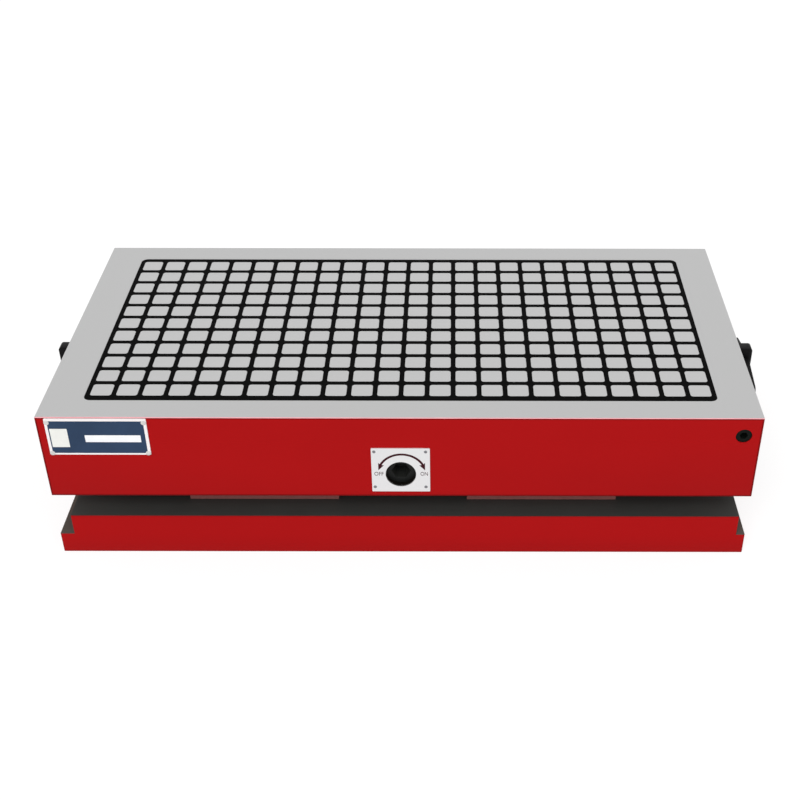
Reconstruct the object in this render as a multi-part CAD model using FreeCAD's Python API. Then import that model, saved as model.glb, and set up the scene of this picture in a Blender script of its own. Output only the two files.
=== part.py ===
"""Permanent magnetic chuck with a grid of square poles, switched by a rack and pinion.

A pack of alternate north and south pole bars fills the window of the top plate.
Below it a carrier with one bar magnet per pole bar slides by one pole pitch:
under poles of its own kind the face holds work, one pitch aside the flux closes
inside the chuck.  Half a turn of the key shaft moves the carrier through a rack.

Frame: millimetres, origin at the centre of the base's underside, +X along the
chuck, +Y away from the key side, +Z up.
"""
import FreeCAD, Part
import math
import os

V = FreeCAD.Vector
UP = V(0, 0, 1)

# ---------------------------------------------------------------- pole face
PITCH = 22.0             # pole pitch both ways, and the travel of the carrier
COLUMNS = 24             # pole bars, side by side along X
ROWS = 11                # pole heads along each bar
POLE_GAP = 4.0           # filled line between neighbouring poles
END_BORDER = 4.0         # filled line between the outer bars and the window
SIDE_BORDER = 6.0        # filled line between the bars' ends and the window
SLOT_DEPTH = 6.0         # cross slots that part a bar into heads
WINDOW_RADIUS = 6.0
FACE_CHAMFER = 0.6       # broken edge round the ground face

# ---------------------------------------------------------------- body
SIDE_MARGIN = 29.0       # from the outer row of poles to the long sides
END_WALL = 13.0
SIDE_WALL = 20.0
FLOOR = 10.9             # floor of the housing
END_ROOM = 1.0           # beyond the carrier's travel at each end
BASE_HEIGHT = 20.5       # lower flange of the base, full length
PLATFORM_HEIGHT = 20.5   # raised part of the base
PLATFORM_STEP_LEFT = 12.6    # step at each end of the raised part
PLATFORM_STEP_RIGHT = 7.8
GROOVE_HEIGHT = 22.1     # clamping groove between base and housing
HOUSING_HEIGHT = 56.9
TOP_PLATE = 25.0

# ---------------------------------------------------------------- waist
WAIST_LENGTH = 516.0
WAIST_WIDTH = 220.0
PAD_LENGTH = 131.0       # four bearing pads on the long sides of the waist
PAD_OFFSET = 121.9       # from the middle of the chuck to each pad's middle
PAD_DEPTH = 16.5

# ---------------------------------------------------------------- key drive
SHAFT_HEIGHT = 24.5      # shaft axis above the underside of the housing
SHAFT_RADIUS = 7.0
HEAD_RADIUS = 13.2
HEAD_LENGTH = 20.0
HEAD_RECESS = 4.0        # head face behind the front of the housing
KEY_FLATS = 14.0         # hexagon socket, across flats
KEY_DEPTH = 16.0
PINION_TEETH = 14
PINION_WIDTH = 36.0
FLANK_STEPS = 3          # straight runs in each involute flank
PRESSURE_ANGLE = 20.0
ADDENDUM = 0.8           # in modules, short enough for an uncut root
DEDENDUM = 1.05          # in modules
BACKLASH = 0.12          # taken off each flank's thickness, half on each side
BUSH_WALL = 4.0
BUSH_LIP_RADIUS = 12.5   # opening of the lip that keeps the head in
REAR_BUSH_LENGTH = 14.0
SHAFT_END_ROOM = 0.3     # play along the shaft at each end
RUNNING_FIT = 0.08       # radial clearance of a turning fit
FIXED_FIT = 0.02         # radial clearance of a fixed fit

# ---------------------------------------------------------------- carrier
YOKE_HEIGHT = 8.0
RACK_WIDTH = 30.0
RACK_TEETH = 12
RACK_BACK = 4.4          # from the pitch line to the underside of the yoke
RACK_KEY = 2.0           # depth of the slot that seats the rack in the yoke
MAGNET_WIDTH = 16.0
FRAME_RIM = 5.0          # wall of the frame round the magnets
WEAR_PLATE = 2.0
WEAR_LEDGE = 1.5         # ledge in the housing under the wear plate's edge
SLIDE_GAP = 0.5          # air between the magnets and the wear plate
SIDE_SLIDE = 0.2         # play of the carrier between the rails
RAIL_LIP = 10.0
RAIL_WIDTH = 22.0
RAIL_LIP_HEIGHT = 4.0
RAIL_SHAFT_ROOM = 20.0   # rails stop this far from the shaft's axis
STOP_WIDTH = 20.0
STOP_OFFSET = 70.0
STOP_GAP = 0.1

# ---------------------------------------------------------------- seal and screws
SEAL_WIDTH = 2.0
SEAL_DEPTH = 2.0
SEAL_INSET = 1.0         # from the wear plate's ledge to the seal groove
SEAL_ROOM = 0.1
PLATE_SCREW = 8.0        # socket-head screws that hold the top plate, from below
PLATE_SCREW_LENGTH = 40.0
PLATE_SCREW_BITE = 16.0
PLATE_SCREW_X = (83.0, 249.0)
BASE_BOLT = 12.0         # bolts from the housing's floor through the waist into the base
BASE_BOLT_LENGTH = 54.0
BASE_BOLT_FLATS = 18.0
BASE_BOLT_HEAD = 7.5
BASE_BOLT_X = 220.0
BASE_BOLT_Y = 85.0
HOLE_ROOM = 0.5          # radial room of a clearance hole
HEAD_ROOM = 0.6          # radial room of a counterbore
CAP_HEAD = 13 / 16       # socket head's radius, in thread sizes
CAP_FLATS = 0.75         # its hexagon socket across flats, in thread sizes
CAP_DEPTH = 0.5          # depth of that socket, in thread sizes
SCREW_SIDES = 12         # the repeated inner screws are twelve-sided

# ---------------------------------------------------------------- front face
CONTROL_PLATE = (49.3, 45.6, 1.5)     # width, height, thickness
CONTROL_PLATE_RISE = 4.4              # plate's middle above the shaft axis
CONTROL_HOLE_RADIUS = 12.9
NAMEPLATE = (85.0, 37.2, 1.0)
NAMEPLATE_CORNER = (6.9, 1.0)         # from the chuck's left end and from its face
PLUG_RADIUS = 6.8
PLUG_LENGTH = 12.0
PLUG_FLATS = 6.0
PLUG_RECESS = 0.8
PLUG_PLACE = (15.0, 18.0)             # from the right end and from the face

# ---------------------------------------------------------------- lifting rings
PIVOT_RADIUS = 5.0       # round of the ring where it turns in the eye
RING_BAR = 12.0          # height of the ring's bar
RING_THICK = 12.0        # bar thickness off the end face
RING_WIDTH = 104.0
RING_FALL = 9.0          # drop of each shoulder from the eye to the side
RING_HEIGHT = 46.0       # from the pivot axis to the far edge of the bow
RING_CORNER = 18.0       # outer radius of the bow's lower corners
RING_INNER_CORNER = 1.0  # least radius on the inside of the bow
RING_DROP = 39.0         # pivot axis below the face
RING_STANDOFF = 13.0     # pivot axis off the end face
RING_FIT = 0.3
EYE_WIDTH = 10.0
EYE_RISE = 16.0          # flat top of the eye above the pivot axis
EYE_WALL = 3.0
FOOT_SIZE = 32.0         # square foot of the eye on the end face
FOOT_THICK = 4.0
EYE_SHANK_RADIUS = 7.0
EYE_SHANK_BITE = 11.0

# ---------------------------------------------------------------- worked out
LENGTH = COLUMNS * PITCH + 2 * (PITCH + END_ROOM + END_WALL)
WIDTH = ROWS * PITCH + 2 * SIDE_MARGIN
HALF_L = LENGTH / 2
HALF_W = WIDTH / 2
CAVITY_L = HALF_L - END_WALL
CAVITY_W = HALF_W - SIDE_WALL
Z_PLATFORM = BASE_HEIGHT
Z_WAIST = Z_PLATFORM + PLATFORM_HEIGHT
Z_HOUSING = Z_WAIST + GROOVE_HEIGHT
Z_CAVITY = Z_HOUSING + FLOOR
Z_TOP_PLATE = Z_HOUSING + HOUSING_HEIGHT
Z_FACE = Z_TOP_PLATE + TOP_PLATE
Z_SHAFT = Z_HOUSING + SHAFT_HEIGHT
POLE = PITCH - POLE_GAP
PACK_L = COLUMNS * PITCH / 2 - POLE_GAP / 2
PACK_W = ROWS * PITCH / 2 - POLE_GAP / 2
WINDOW_L = PACK_L + END_BORDER
WINDOW_W = PACK_W + SIDE_BORDER
TRAVEL = PITCH
PITCH_RADIUS = TRAVEL / math.pi
MODULE = 2 * PITCH_RADIUS / PINION_TEETH
Z_YOKE = Z_SHAFT + PITCH_RADIUS + RACK_BACK
Z_MAGNET = Z_YOKE + YOKE_HEIGHT
Z_WEAR = Z_TOP_PLATE - WEAR_PLATE
MAGNET_HEIGHT = Z_WEAR - SLIDE_GAP - Z_MAGNET
YOKE_L = COLUMNS * PITCH / 2 - END_ROOM
YOKE_W = CAVITY_W - RAIL_LIP - SIDE_SLIDE
OFF = -TRAVEL            # place of the carrier's middle at rest, switched off
FRONT = -HALF_W
BUSH_RADIUS = HEAD_RADIUS + RUNNING_FIT + BUSH_WALL
REAR_BUSH_RADIUS = SHAFT_RADIUS + RUNNING_FIT + BUSH_WALL
REAR_BUSH_END = CAVITY_W + REAR_BUSH_LENGTH
SCREW_ROW = HALF_W - SIDE_WALL / 2
RACK_LENGTH = (RACK_TEETH + 1) * math.pi * MODULE
Z_RING = Z_FACE - RING_DROP
HALF_GAP = EYE_WIDTH / 2 + 2 * RING_FIT     # of the ring's opening for the eye


# ================================================================ helpers
def box(x0, x1, y0, y1, z0, z1):
    return Part.makeBox(x1 - x0, y1 - y0, z1 - z0, V(x0, y0, z0))


def block(half_l, half_w, z0, z1):
    """A block centred on the chuck's middle."""
    return box(-half_l, half_l, -half_w, half_w, z0, z1)


def rod(radius, start, end):
    """A cylinder from one centre to another."""
    return Part.makeCylinder(radius, (end - start).Length, start, end - start)


def prism(points, path):
    """A closed outline of points swept straight along a vector."""
    wire = Part.makePolygon(points + points[:1])
    return Part.Face(wire).extrude(path)


def prism_bar(sides, radius, start, path):
    """A regular prism along a vector, its corners at a radius from the axis."""
    side = V(1, 0, 0) if abs(path.x) < 0.5 * path.Length else V(0, 1, 0)
    turns = [FreeCAD.Rotation(path, 360 * step / sides) for step in range(sides)]
    return prism([start + turn.multVec(side * radius) for turn in turns], path)


def hexagon(flats, start, path):
    return prism_bar(6, flats / math.sqrt(3), start, path)


def screw_bar(radius, start, end):
    """A shank, head or hole of the repeated inner screws."""
    return prism_bar(SCREW_SIDES, radius, start, end - start)


def fuse(shapes):
    return shapes[0].fuse(shapes[1:]).removeSplitter() if len(shapes) > 1 else shapes[0]


def cut(body, tools):
    return body.cut(Part.Compound(tools))


def rounded_block(half_l, half_w, z0, z1, radius):
    """A centred block with its four upright edges rounded."""
    body = block(half_l, half_w, z0, z1)
    upright = [e for e in body.Edges if abs(e.tangentAt(e.FirstParameter).z) > 0.9]
    return body.makeFillet(radius, upright)


def mirror_x(shape):
    return shape.mirror(V(0, 0, 0), V(1, 0, 0))


def cap_screw(size, length, seat):
    """A socket-head screw that points up: head under the seat, shank above it."""
    head_face = seat - UP * size
    head = screw_bar(CAP_HEAD * size, head_face, seat)
    socket = hexagon(CAP_FLATS * size, head_face, UP * CAP_DEPTH * size)
    return head.cut(socket).fuse(screw_bar(size / 2, seat, seat + UP * length))


# ================================================================ body
def four(x, y):
    """The four places that mirror each other about the chuck's middle."""
    return [(sx * x, sy * y) for sx in (-1, 1) for sy in (-1, 1)]


def plate_screw_seats():
    z = Z_TOP_PLATE + PLATE_SCREW_BITE - PLATE_SCREW_LENGTH
    return [V(x, y, z) for inner in PLATE_SCREW_X for x, y in four(inner, SCREW_ROW)]


def base_bolt_seats():
    return [V(x, y, Z_CAVITY) for x, y in four(BASE_BOLT_X, BASE_BOLT_Y)]


def base_plate():
    """Flange with a raised platform: the platform is stepped in at both ends."""
    body = fuse([block(HALF_L, HALF_W, 0, Z_PLATFORM),
                 box(PLATFORM_STEP_LEFT - HALF_L, HALF_L - PLATFORM_STEP_RIGHT, -HALF_W, HALF_W,
                     Z_PLATFORM, Z_WAIST)])
    return cut(body, [screw_bar(BASE_BOLT / 2 + FIXED_FIT, V(seat.x, seat.y, Z_WAIST),
                                seat - UP * BASE_BOLT_LENGTH) for seat in base_bolt_seats()])


def waist_block():
    """Spacer that leaves the clamping groove, with two bearing pads on each long side."""
    half_w = WAIST_WIDTH / 2
    body = block(WAIST_LENGTH / 2, half_w, Z_WAIST, Z_HOUSING)
    pads = [box(x - PAD_LENGTH / 2, x + PAD_LENGTH / 2,
                -half_w - PAD_DEPTH, half_w + PAD_DEPTH, Z_WAIST, Z_HOUSING)
            for x in (-PAD_OFFSET, PAD_OFFSET)]
    return cut(fuse([body] + pads), bolt_holes(Z_WAIST, Z_HOUSING))


def bolt_holes(z0, z1):
    """Clearance holes for the base bolts between two heights."""
    return [screw_bar(BASE_BOLT / 2 + HOLE_ROOM, V(seat.x, seat.y, z1), V(seat.x, seat.y, z0))
            for seat in base_bolt_seats()]


def seal_ring(room):
    """Square-cornered ring that fills the seal groove, less some room on each flank."""
    inset = WEAR_LEDGE + SEAL_INSET
    outer = block(CAVITY_L + inset + SEAL_WIDTH - room, CAVITY_W + inset + SEAL_WIDTH - room,
                  Z_TOP_PLATE - SEAL_DEPTH, Z_TOP_PLATE)
    return outer.cut(block(CAVITY_L + inset + room, CAVITY_W + inset + room,
                           Z_TOP_PLATE - SEAL_DEPTH, Z_TOP_PLATE))


def housing():
    """Open box that holds the carrier, its rails and the key shaft."""
    body = block(HALF_L, HALF_W, Z_HOUSING, Z_TOP_PLATE)
    tools = [
        block(CAVITY_L, CAVITY_W, Z_CAVITY, Z_TOP_PLATE),
        block(CAVITY_L + WEAR_LEDGE, CAVITY_W + WEAR_LEDGE, Z_WEAR, Z_TOP_PLATE),
        seal_ring(0),
        rod(BUSH_RADIUS + FIXED_FIT, V(0, FRONT, Z_SHAFT), V(0, -CAVITY_W, Z_SHAFT)),
        rod(REAR_BUSH_RADIUS + FIXED_FIT, V(0, CAVITY_W, Z_SHAFT), V(0, REAR_BUSH_END, Z_SHAFT)),
    ]
    for seat in plate_screw_seats():
        tools.append(screw_bar(PLATE_SCREW / 2 + HOLE_ROOM, seat, V(seat.x, seat.y, Z_TOP_PLATE)))
        tools.append(screw_bar(CAP_HEAD * PLATE_SCREW + HEAD_ROOM,
                               V(seat.x, seat.y, Z_HOUSING), seat))
    for side in (-1, 1):
        tools.append(rod(EYE_SHANK_RADIUS + FIXED_FIT, V(side * HALF_L, 0, Z_RING),
                         V(side * (HALF_L - EYE_SHANK_BITE), 0, Z_RING)))
    return cut(body, tools + bolt_holes(Z_HOUSING, Z_CAVITY))


def top_plate():
    """Ground plate whose window frames the pole pack."""
    body = block(HALF_L, HALF_W, Z_TOP_PLATE, Z_FACE)
    rim = [e for e in body.Edges if e.BoundBox.ZMin > Z_FACE - FACE_CHAMFER]
    body = body.makeChamfer(FACE_CHAMFER, rim)
    tools = [rounded_block(WINDOW_L, WINDOW_W, Z_TOP_PLATE, Z_FACE, WINDOW_RADIUS), plug_bore()]
    for seat in plate_screw_seats():
        tools.append(screw_bar(PLATE_SCREW / 2 + FIXED_FIT, V(seat.x, seat.y, Z_TOP_PLATE),
                               V(seat.x, seat.y, Z_TOP_PLATE + PLATE_SCREW_BITE)))
    return cut(body, tools)


def top_plate_screws():
    return [cap_screw(PLATE_SCREW, PLATE_SCREW_LENGTH, seat) for seat in plate_screw_seats()]


def base_bolts():
    """Hexagon bolts driven from inside the housing, down into the base."""
    bolts = []
    for seat in base_bolt_seats():
        shank = screw_bar(BASE_BOLT / 2, seat, seat - UP * BASE_BOLT_LENGTH)
        bolts.append(hexagon(BASE_BOLT_FLATS, seat, UP * BASE_BOLT_HEAD).fuse(shank))
    return bolts


# ================================================================ pole pack
def column_x(column):
    """Middle of a pole column, counted from the left end."""
    return (column - (COLUMNS - 1) / 2) * PITCH


def pole_bar(column):
    """A steel bar along Y, parted at the face into square heads by cross slots."""
    z_slot = Z_FACE - SLOT_DEPTH
    x = column_x(column) - POLE / 2
    points = [V(x, -PACK_W, Z_FACE)]
    for row in range(1, ROWS):
        middle = row * PITCH - ROWS * PITCH / 2
        near = middle - POLE_GAP / 2
        far = middle + POLE_GAP / 2
        points += [V(x, near, Z_FACE), V(x, near, z_slot), V(x, far, z_slot), V(x, far, Z_FACE)]
    points += [V(x, PACK_W, Z_FACE), V(x, PACK_W, Z_TOP_PLATE), V(x, -PACK_W, Z_TOP_PLATE)]
    return prism(points, V(POLE, 0, 0))


def pole_bars(first):
    """Every second bar, so that each node holds the bars of one polarity."""
    return [pole_bar(column) for column in range(first, COLUMNS, 2)]


def gap_strips(half_w, z0, z1):
    """One strip in each gap between neighbouring pole bars."""
    strips = []
    for column in range(COLUMNS - 1):
        x = column_x(column) + PITCH / 2
        strips.append(box(x - POLE_GAP / 2, x + POLE_GAP / 2, -half_w, half_w, z0, z1))
    return strips


def fixed_magnets():
    return gap_strips(PACK_W, Z_TOP_PLATE, Z_FACE - SLOT_DEPTH)


def gap_filler():
    """Cast resin: a frame round the pack and a web over each fixed magnet."""
    rim = rounded_block(WINDOW_L, WINDOW_W, Z_TOP_PLATE, Z_FACE, WINDOW_RADIUS)
    rim = rim.cut(block(PACK_L, PACK_W, Z_TOP_PLATE, Z_FACE))
    return fuse([rim] + gap_strips(PACK_W, Z_FACE - SLOT_DEPTH, Z_FACE))


def wear_plate():
    """Non-magnetic sheet on the housing's ledge, under the pole pack."""
    inset = WEAR_LEDGE - SEAL_ROOM
    return block(CAVITY_L + inset, CAVITY_W + inset, Z_WEAR, Z_TOP_PLATE)


# ================================================================ key drive
def polar(radius, angle):
    """A point of the pinion's section, the angle counted from +Z towards +X."""
    return V(radius * math.sin(angle), 0, radius * math.cos(angle))


def involute_angle(radius, base_radius):
    """Polar angle that an involute has gained between its base circle and a radius."""
    roll = math.sqrt(max((radius / base_radius) ** 2 - 1, 0))
    return roll - math.atan(roll)


def pinion_section(centre):
    """Outline of the pinion: involute flanks, radial below the base circle."""
    base_radius = PITCH_RADIUS * math.cos(math.radians(PRESSURE_ANGLE))
    root_radius = PITCH_RADIUS - DEDENDUM * MODULE
    tip_radius = PITCH_RADIUS + ADDENDUM * MODULE
    half_tooth = (math.pi * MODULE - BACKLASH) / (4 * PITCH_RADIUS)
    at_base = half_tooth + involute_angle(PITCH_RADIUS, base_radius)
    flank = [(root_radius, at_base)]
    for step in range(FLANK_STEPS + 1):
        radius = base_radius + (tip_radius - base_radius) * step / FLANK_STEPS
        flank.append((radius, at_base - involute_angle(radius, base_radius)))
    points = []
    for tooth in range(PINION_TEETH):
        middle = (tooth + 0.5) * 2 * math.pi / PINION_TEETH
        points += [centre + polar(radius, middle - angle) for radius, angle in flank]
        points += [centre + polar(radius, middle + angle) for radius, angle in reversed(flank)]
    return points


def drive_shaft():
    """Key shaft: socket head at the front, pinion in the middle, journal at the rear."""
    head_face = FRONT + HEAD_RECESS
    head_end = head_face + HEAD_LENGTH
    tail = REAR_BUSH_END - SHAFT_END_ROOM
    half = PINION_WIDTH / 2
    pinion = prism(pinion_section(V(0, -half, Z_SHAFT)), V(0, PINION_WIDTH, 0))
    head = rod(HEAD_RADIUS, V(0, head_face, Z_SHAFT), V(0, head_end, Z_SHAFT))
    socket = hexagon(KEY_FLATS, V(0, head_face, Z_SHAFT), V(0, KEY_DEPTH, 0))
    return fuse([head.cut(socket),
                 rod(SHAFT_RADIUS, V(0, head_end, Z_SHAFT), V(0, -half, Z_SHAFT)),
                 pinion,
                 rod(SHAFT_RADIUS, V(0, half, Z_SHAFT), V(0, tail, Z_SHAFT))])


def shaft_bushes():
    """Bronze bushes in the front wall, with a lip that keeps the head in, and at the rear."""
    front_from, front_to = V(0, FRONT, Z_SHAFT), V(0, -CAVITY_W, Z_SHAFT)
    rear_from, rear_to = V(0, CAVITY_W, Z_SHAFT), V(0, REAR_BUSH_END, Z_SHAFT)
    lip_end = front_from + V(0, HEAD_RECESS - SHAFT_END_ROOM, 0)
    front = cut(rod(BUSH_RADIUS, front_from, front_to),
                [rod(BUSH_LIP_RADIUS, front_from, lip_end),
                 rod(HEAD_RADIUS + RUNNING_FIT, lip_end, front_to)])
    rear = rod(REAR_BUSH_RADIUS, rear_from, rear_to)
    return [front, rear.cut(rod(SHAFT_RADIUS + RUNNING_FIT, rear_from, rear_to))]


def rack():
    """Straight-flanked teeth facing down, in mesh over the pinion at rest."""
    tooth_pitch = math.pi * MODULE
    z_pitch = Z_SHAFT + PITCH_RADIUS
    z_tip = z_pitch - ADDENDUM * MODULE
    z_root = z_pitch + DEDENDUM * MODULE
    slope = math.tan(math.radians(PRESSURE_ANGLE))
    half_pitch_line = (tooth_pitch - BACKLASH) / 4
    half_tip = half_pitch_line - (z_pitch - z_tip) * slope
    half_root = half_pitch_line + (z_root - z_pitch) * slope
    top = Z_YOKE + RACK_KEY
    y = -RACK_WIDTH / 2
    start = OFF / 2 - RACK_LENGTH / 2
    end = OFF / 2 + RACK_LENGTH / 2
    first = math.ceil((start + half_root) / tooth_pitch)
    points = [V(start, y, top), V(start, y, z_root)]
    for tooth in range(first, first + RACK_TEETH):
        x = tooth * tooth_pitch
        points += [V(x - half_root, y, z_root), V(x - half_tip, y, z_tip),
                   V(x + half_tip, y, z_tip), V(x + half_root, y, z_root)]
    points += [V(end, y, z_root), V(end, y, top)]
    return prism(points, V(0, RACK_WIDTH, 0))


# ================================================================ carrier
def yoke_plate():
    """Steel plate that closes the flux under the magnets, slotted for the rack."""
    body = box(OFF - YOKE_L, OFF + YOKE_L, -YOKE_W, YOKE_W, Z_YOKE, Z_MAGNET)
    middle = OFF / 2
    slot = box(middle - RACK_LENGTH / 2, middle + RACK_LENGTH / 2,
               -RACK_WIDTH / 2, RACK_WIDTH / 2, Z_YOKE, Z_YOKE + RACK_KEY)
    return body.cut(slot)


def carrier_magnets(first):
    """Bar magnets of one polarity, under every second pole bar when switched on."""
    half = MAGNET_WIDTH / 2
    reach = YOKE_W - FRAME_RIM
    places = [column_x(column) + OFF for column in range(first, COLUMNS, 2)]
    return [box(x - half, x + half, -reach, reach, Z_MAGNET, Z_MAGNET + MAGNET_HEIGHT)
            for x in places]


def magnet_frame():
    """Aluminium frame round the magnets, on the yoke's edge."""
    magnet_end = column_x(COLUMNS - 1) + MAGNET_WIDTH / 2
    reach = YOKE_W - FRAME_RIM
    body = box(OFF - YOKE_L, OFF + YOKE_L, -YOKE_W, YOKE_W, Z_MAGNET, Z_MAGNET + MAGNET_HEIGHT)
    return body.cut(box(OFF - magnet_end, OFF + magnet_end, -reach, reach,
                        Z_MAGNET, Z_MAGNET + MAGNET_HEIGHT))


def guide_rails():
    """Four bronze rails that carry the yoke and hold it square, clear of the shaft."""
    profile = [(CAVITY_W - RAIL_WIDTH, Z_CAVITY), (CAVITY_W, Z_CAVITY),
               (CAVITY_W, Z_YOKE + RAIL_LIP_HEIGHT),
               (CAVITY_W - RAIL_LIP, Z_YOKE + RAIL_LIP_HEIGHT),
               (CAVITY_W - RAIL_LIP, Z_YOKE), (CAVITY_W - RAIL_WIDTH, Z_YOKE)]
    path = V(CAVITY_L - RAIL_SHAFT_ROOM, 0, 0)
    rails = []
    for side in (-1, 1):
        right = prism([V(RAIL_SHAFT_ROOM, side * y, z) for y, z in profile], path)
        rails += [right, mirror_x(right)]
    return rails


def travel_stops():
    """Blocks on the floor that the yoke's ends meet when switched on and off."""
    top = Z_YOKE + YOKE_HEIGHT / 2
    off_face = OFF - YOKE_L - STOP_GAP
    on_face = YOKE_L + STOP_GAP
    stops = []
    for y in (-STOP_OFFSET, STOP_OFFSET):
        near = y - STOP_WIDTH / 2
        far = y + STOP_WIDTH / 2
        stops += [box(-CAVITY_L, off_face, near, far, Z_CAVITY, top),
                  box(on_face, CAVITY_L, near, far, Z_CAVITY, top)]
    return stops


# ================================================================ front face
def control_plate():
    """Switch plate screwed to the front over the bush and the shaft's head."""
    width, height, thick = CONTROL_PLATE
    z = Z_SHAFT + CONTROL_PLATE_RISE
    body = box(-width / 2, width / 2, FRONT - thick, FRONT, z - height / 2, z + height / 2)
    return body.cut(rod(CONTROL_HOLE_RADIUS, V(0, FRONT - thick, Z_SHAFT), V(0, FRONT, Z_SHAFT)))


def nameplate():
    width, height, thick = NAMEPLATE
    x = -HALF_L + NAMEPLATE_CORNER[0]
    z = Z_FACE - NAMEPLATE_CORNER[1]
    return box(x, x + width, FRONT - thick, FRONT, z - height, z)


def plug_axis(depth):
    """A point on the oil plug's axis, at a depth behind the front."""
    return V(HALF_L - PLUG_PLACE[0], FRONT + depth, Z_FACE - PLUG_PLACE[1])


def plug_bore():
    return rod(PLUG_RADIUS + FIXED_FIT, plug_axis(0), plug_axis(PLUG_RECESS + PLUG_LENGTH))


def oil_plug():
    """Threaded plug with a hexagon socket, a little below the front face."""
    body = rod(PLUG_RADIUS, plug_axis(PLUG_RECESS), plug_axis(PLUG_RECESS + PLUG_LENGTH))
    return body.cut(hexagon(PLUG_FLATS, plug_axis(PLUG_RECESS), V(0, PLUG_FLATS, 0)))


# ================================================================ lifting rings
def eye_bolt():
    """Ring bolt in the right end wall: shank, square foot and a flat-topped bored eye."""
    x = HALF_L
    pivot_x = x + RING_STANDOFF
    bore = PIVOT_RADIUS + RING_FIT
    round_end = bore + EYE_WALL
    half = EYE_WIDTH / 2
    near = V(pivot_x, -half, Z_RING)
    far = V(pivot_x, half, Z_RING)
    eye = fuse([box(x, pivot_x + round_end, -half, half, Z_RING, Z_RING + EYE_RISE),
                box(x, pivot_x, -half, half, Z_RING - round_end, Z_RING + EYE_RISE),
                rod(round_end, near, far)])
    foot = box(x, x + FOOT_THICK, -FOOT_SIZE / 2, FOOT_SIZE / 2,
               Z_RING + EYE_RISE - FOOT_SIZE, Z_RING + EYE_RISE)
    shank = rod(EYE_SHANK_RADIUS, V(x - EYE_SHANK_BITE, 0, Z_RING), V(x, 0, Z_RING))
    crest = [e for e in eye.Edges if e.BoundBox.ZMin > Z_RING + EYE_RISE - EYE_WALL
             and e.BoundBox.XMin > pivot_x]
    return fuse([eye.makeFillet(EYE_WALL, crest), foot, shank]).cut(rod(bore, near, far))


def eye_bolts():
    right = eye_bolt()
    return [right, mirror_x(right)]


def ring_outline(inset):
    """Outline of the ring seen along X: falling shoulders and rounded lower corners."""
    half = RING_WIDTH / 2 - inset
    top = Z_RING + RING_BAR / 2 - inset
    foot = Z_RING - RING_HEIGHT + inset
    corner = max(RING_CORNER - inset, RING_INNER_CORNER)
    bevel = corner / 2
    x = HALF_L + RING_STANDOFF - RING_THICK / 2
    lean = corner * (1 - math.cos(math.pi / 4))
    slope = RING_FALL / (RING_WIDTH / 2 - HALF_GAP)

    def shoulder(y):
        """Height of the shoulder at a distance from the middle."""
        return top - slope * (y - HALF_GAP)

    def side(sign):
        """Half of the outline, from the foot's flat up to the top's flat."""
        return [V(x, sign * y, z) for y, z in (
            (half - corner, foot), (half - lean, foot + lean), (half, foot + corner),
            (half, shoulder(half) - bevel), (half - bevel, shoulder(half - bevel)),
            (HALF_GAP, top))]

    right = side(1)
    left = side(-1)[::-1]
    corners = right[2:] + left[:4]
    lines = list(zip(corners, corners[1:])) + [(left[5], right[0])]
    curves = [Part.Arc(*right[:3]), Part.Arc(*left[3:])]
    curves += [Part.LineSegment(start, end) for start, end in lines]
    edges = Part.__sortEdges__([curve.toShape() for curve in curves])
    return Part.Face(Part.Wire(edges))


def lifting_ring():
    """Forged ring that hangs from its round pivot in the right eye."""
    path = V(RING_THICK, 0, 0)
    bow = ring_outline(0).extrude(path).cut(ring_outline(RING_BAR).extrude(path))
    pivot_x = HALF_L + RING_STANDOFF
    gap = box(pivot_x - RING_THICK, pivot_x + RING_THICK, -HALF_GAP, HALF_GAP,
              Z_RING - RING_BAR, Z_RING + RING_BAR)
    pivot = rod(PIVOT_RADIUS, V(pivot_x, -HALF_GAP, Z_RING), V(pivot_x, HALF_GAP, Z_RING))
    return fuse([bow.cut(gap), pivot])


# ================================================================ parts
def parts():
    """Every node of the chuck by name, each a solid or a list of solids."""
    ring = lifting_ring()
    return {
        "base_plate": base_plate(),
        "base_bolts": base_bolts(),
        "waist_block": waist_block(),
        "housing": housing(),
        "top_plate": top_plate(),
        "top_plate_screws": top_plate_screws(),
        "top_seal": seal_ring(SEAL_ROOM),
        "pole_bars_north": pole_bars(0),
        "pole_bars_south": pole_bars(1),
        "fixed_magnets": fixed_magnets(),
        "gap_filler": gap_filler(),
        "wear_plate": wear_plate(),
        "drive_shaft": drive_shaft(),
        "shaft_bushes": shaft_bushes(),
        "rack": rack(),
        "yoke_plate": yoke_plate(),
        "magnet_frame": magnet_frame(),
        "carrier_magnets_north": carrier_magnets(0),
        "carrier_magnets_south": carrier_magnets(1),
        "guide_rails": guide_rails(),
        "travel_stops": travel_stops(),
        "control_plate": control_plate(),
        "nameplate": nameplate(),
        "oil_plug": oil_plug(),
        "eye_bolts": eye_bolts(),
        "lifting_ring_right": ring,
        "lifting_ring_left": mirror_x(ring),
    }


os.makedirs("parts", exist_ok=True)
for name, shape in parts().items():
    solid = Part.Compound(shape) if isinstance(shape, list) else shape
    solid.exportStep("parts/" + name + ".step")
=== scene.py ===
"""Looks of the magnetic chuck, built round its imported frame.

Each sub-assembly is a class that makes its own pieces and dresses them in the
finishes defined below.  Lengths are in metres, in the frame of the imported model:
+X along the chuck, +Y away from the key side, +Z up from the base's underside.
"""

import logging
import math
from collections.abc import Callable, Sequence
from dataclasses import dataclass, field
from enum import Enum
from typing import Any

import bmesh
import bpy
from mathutils import Matrix, Vector


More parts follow.
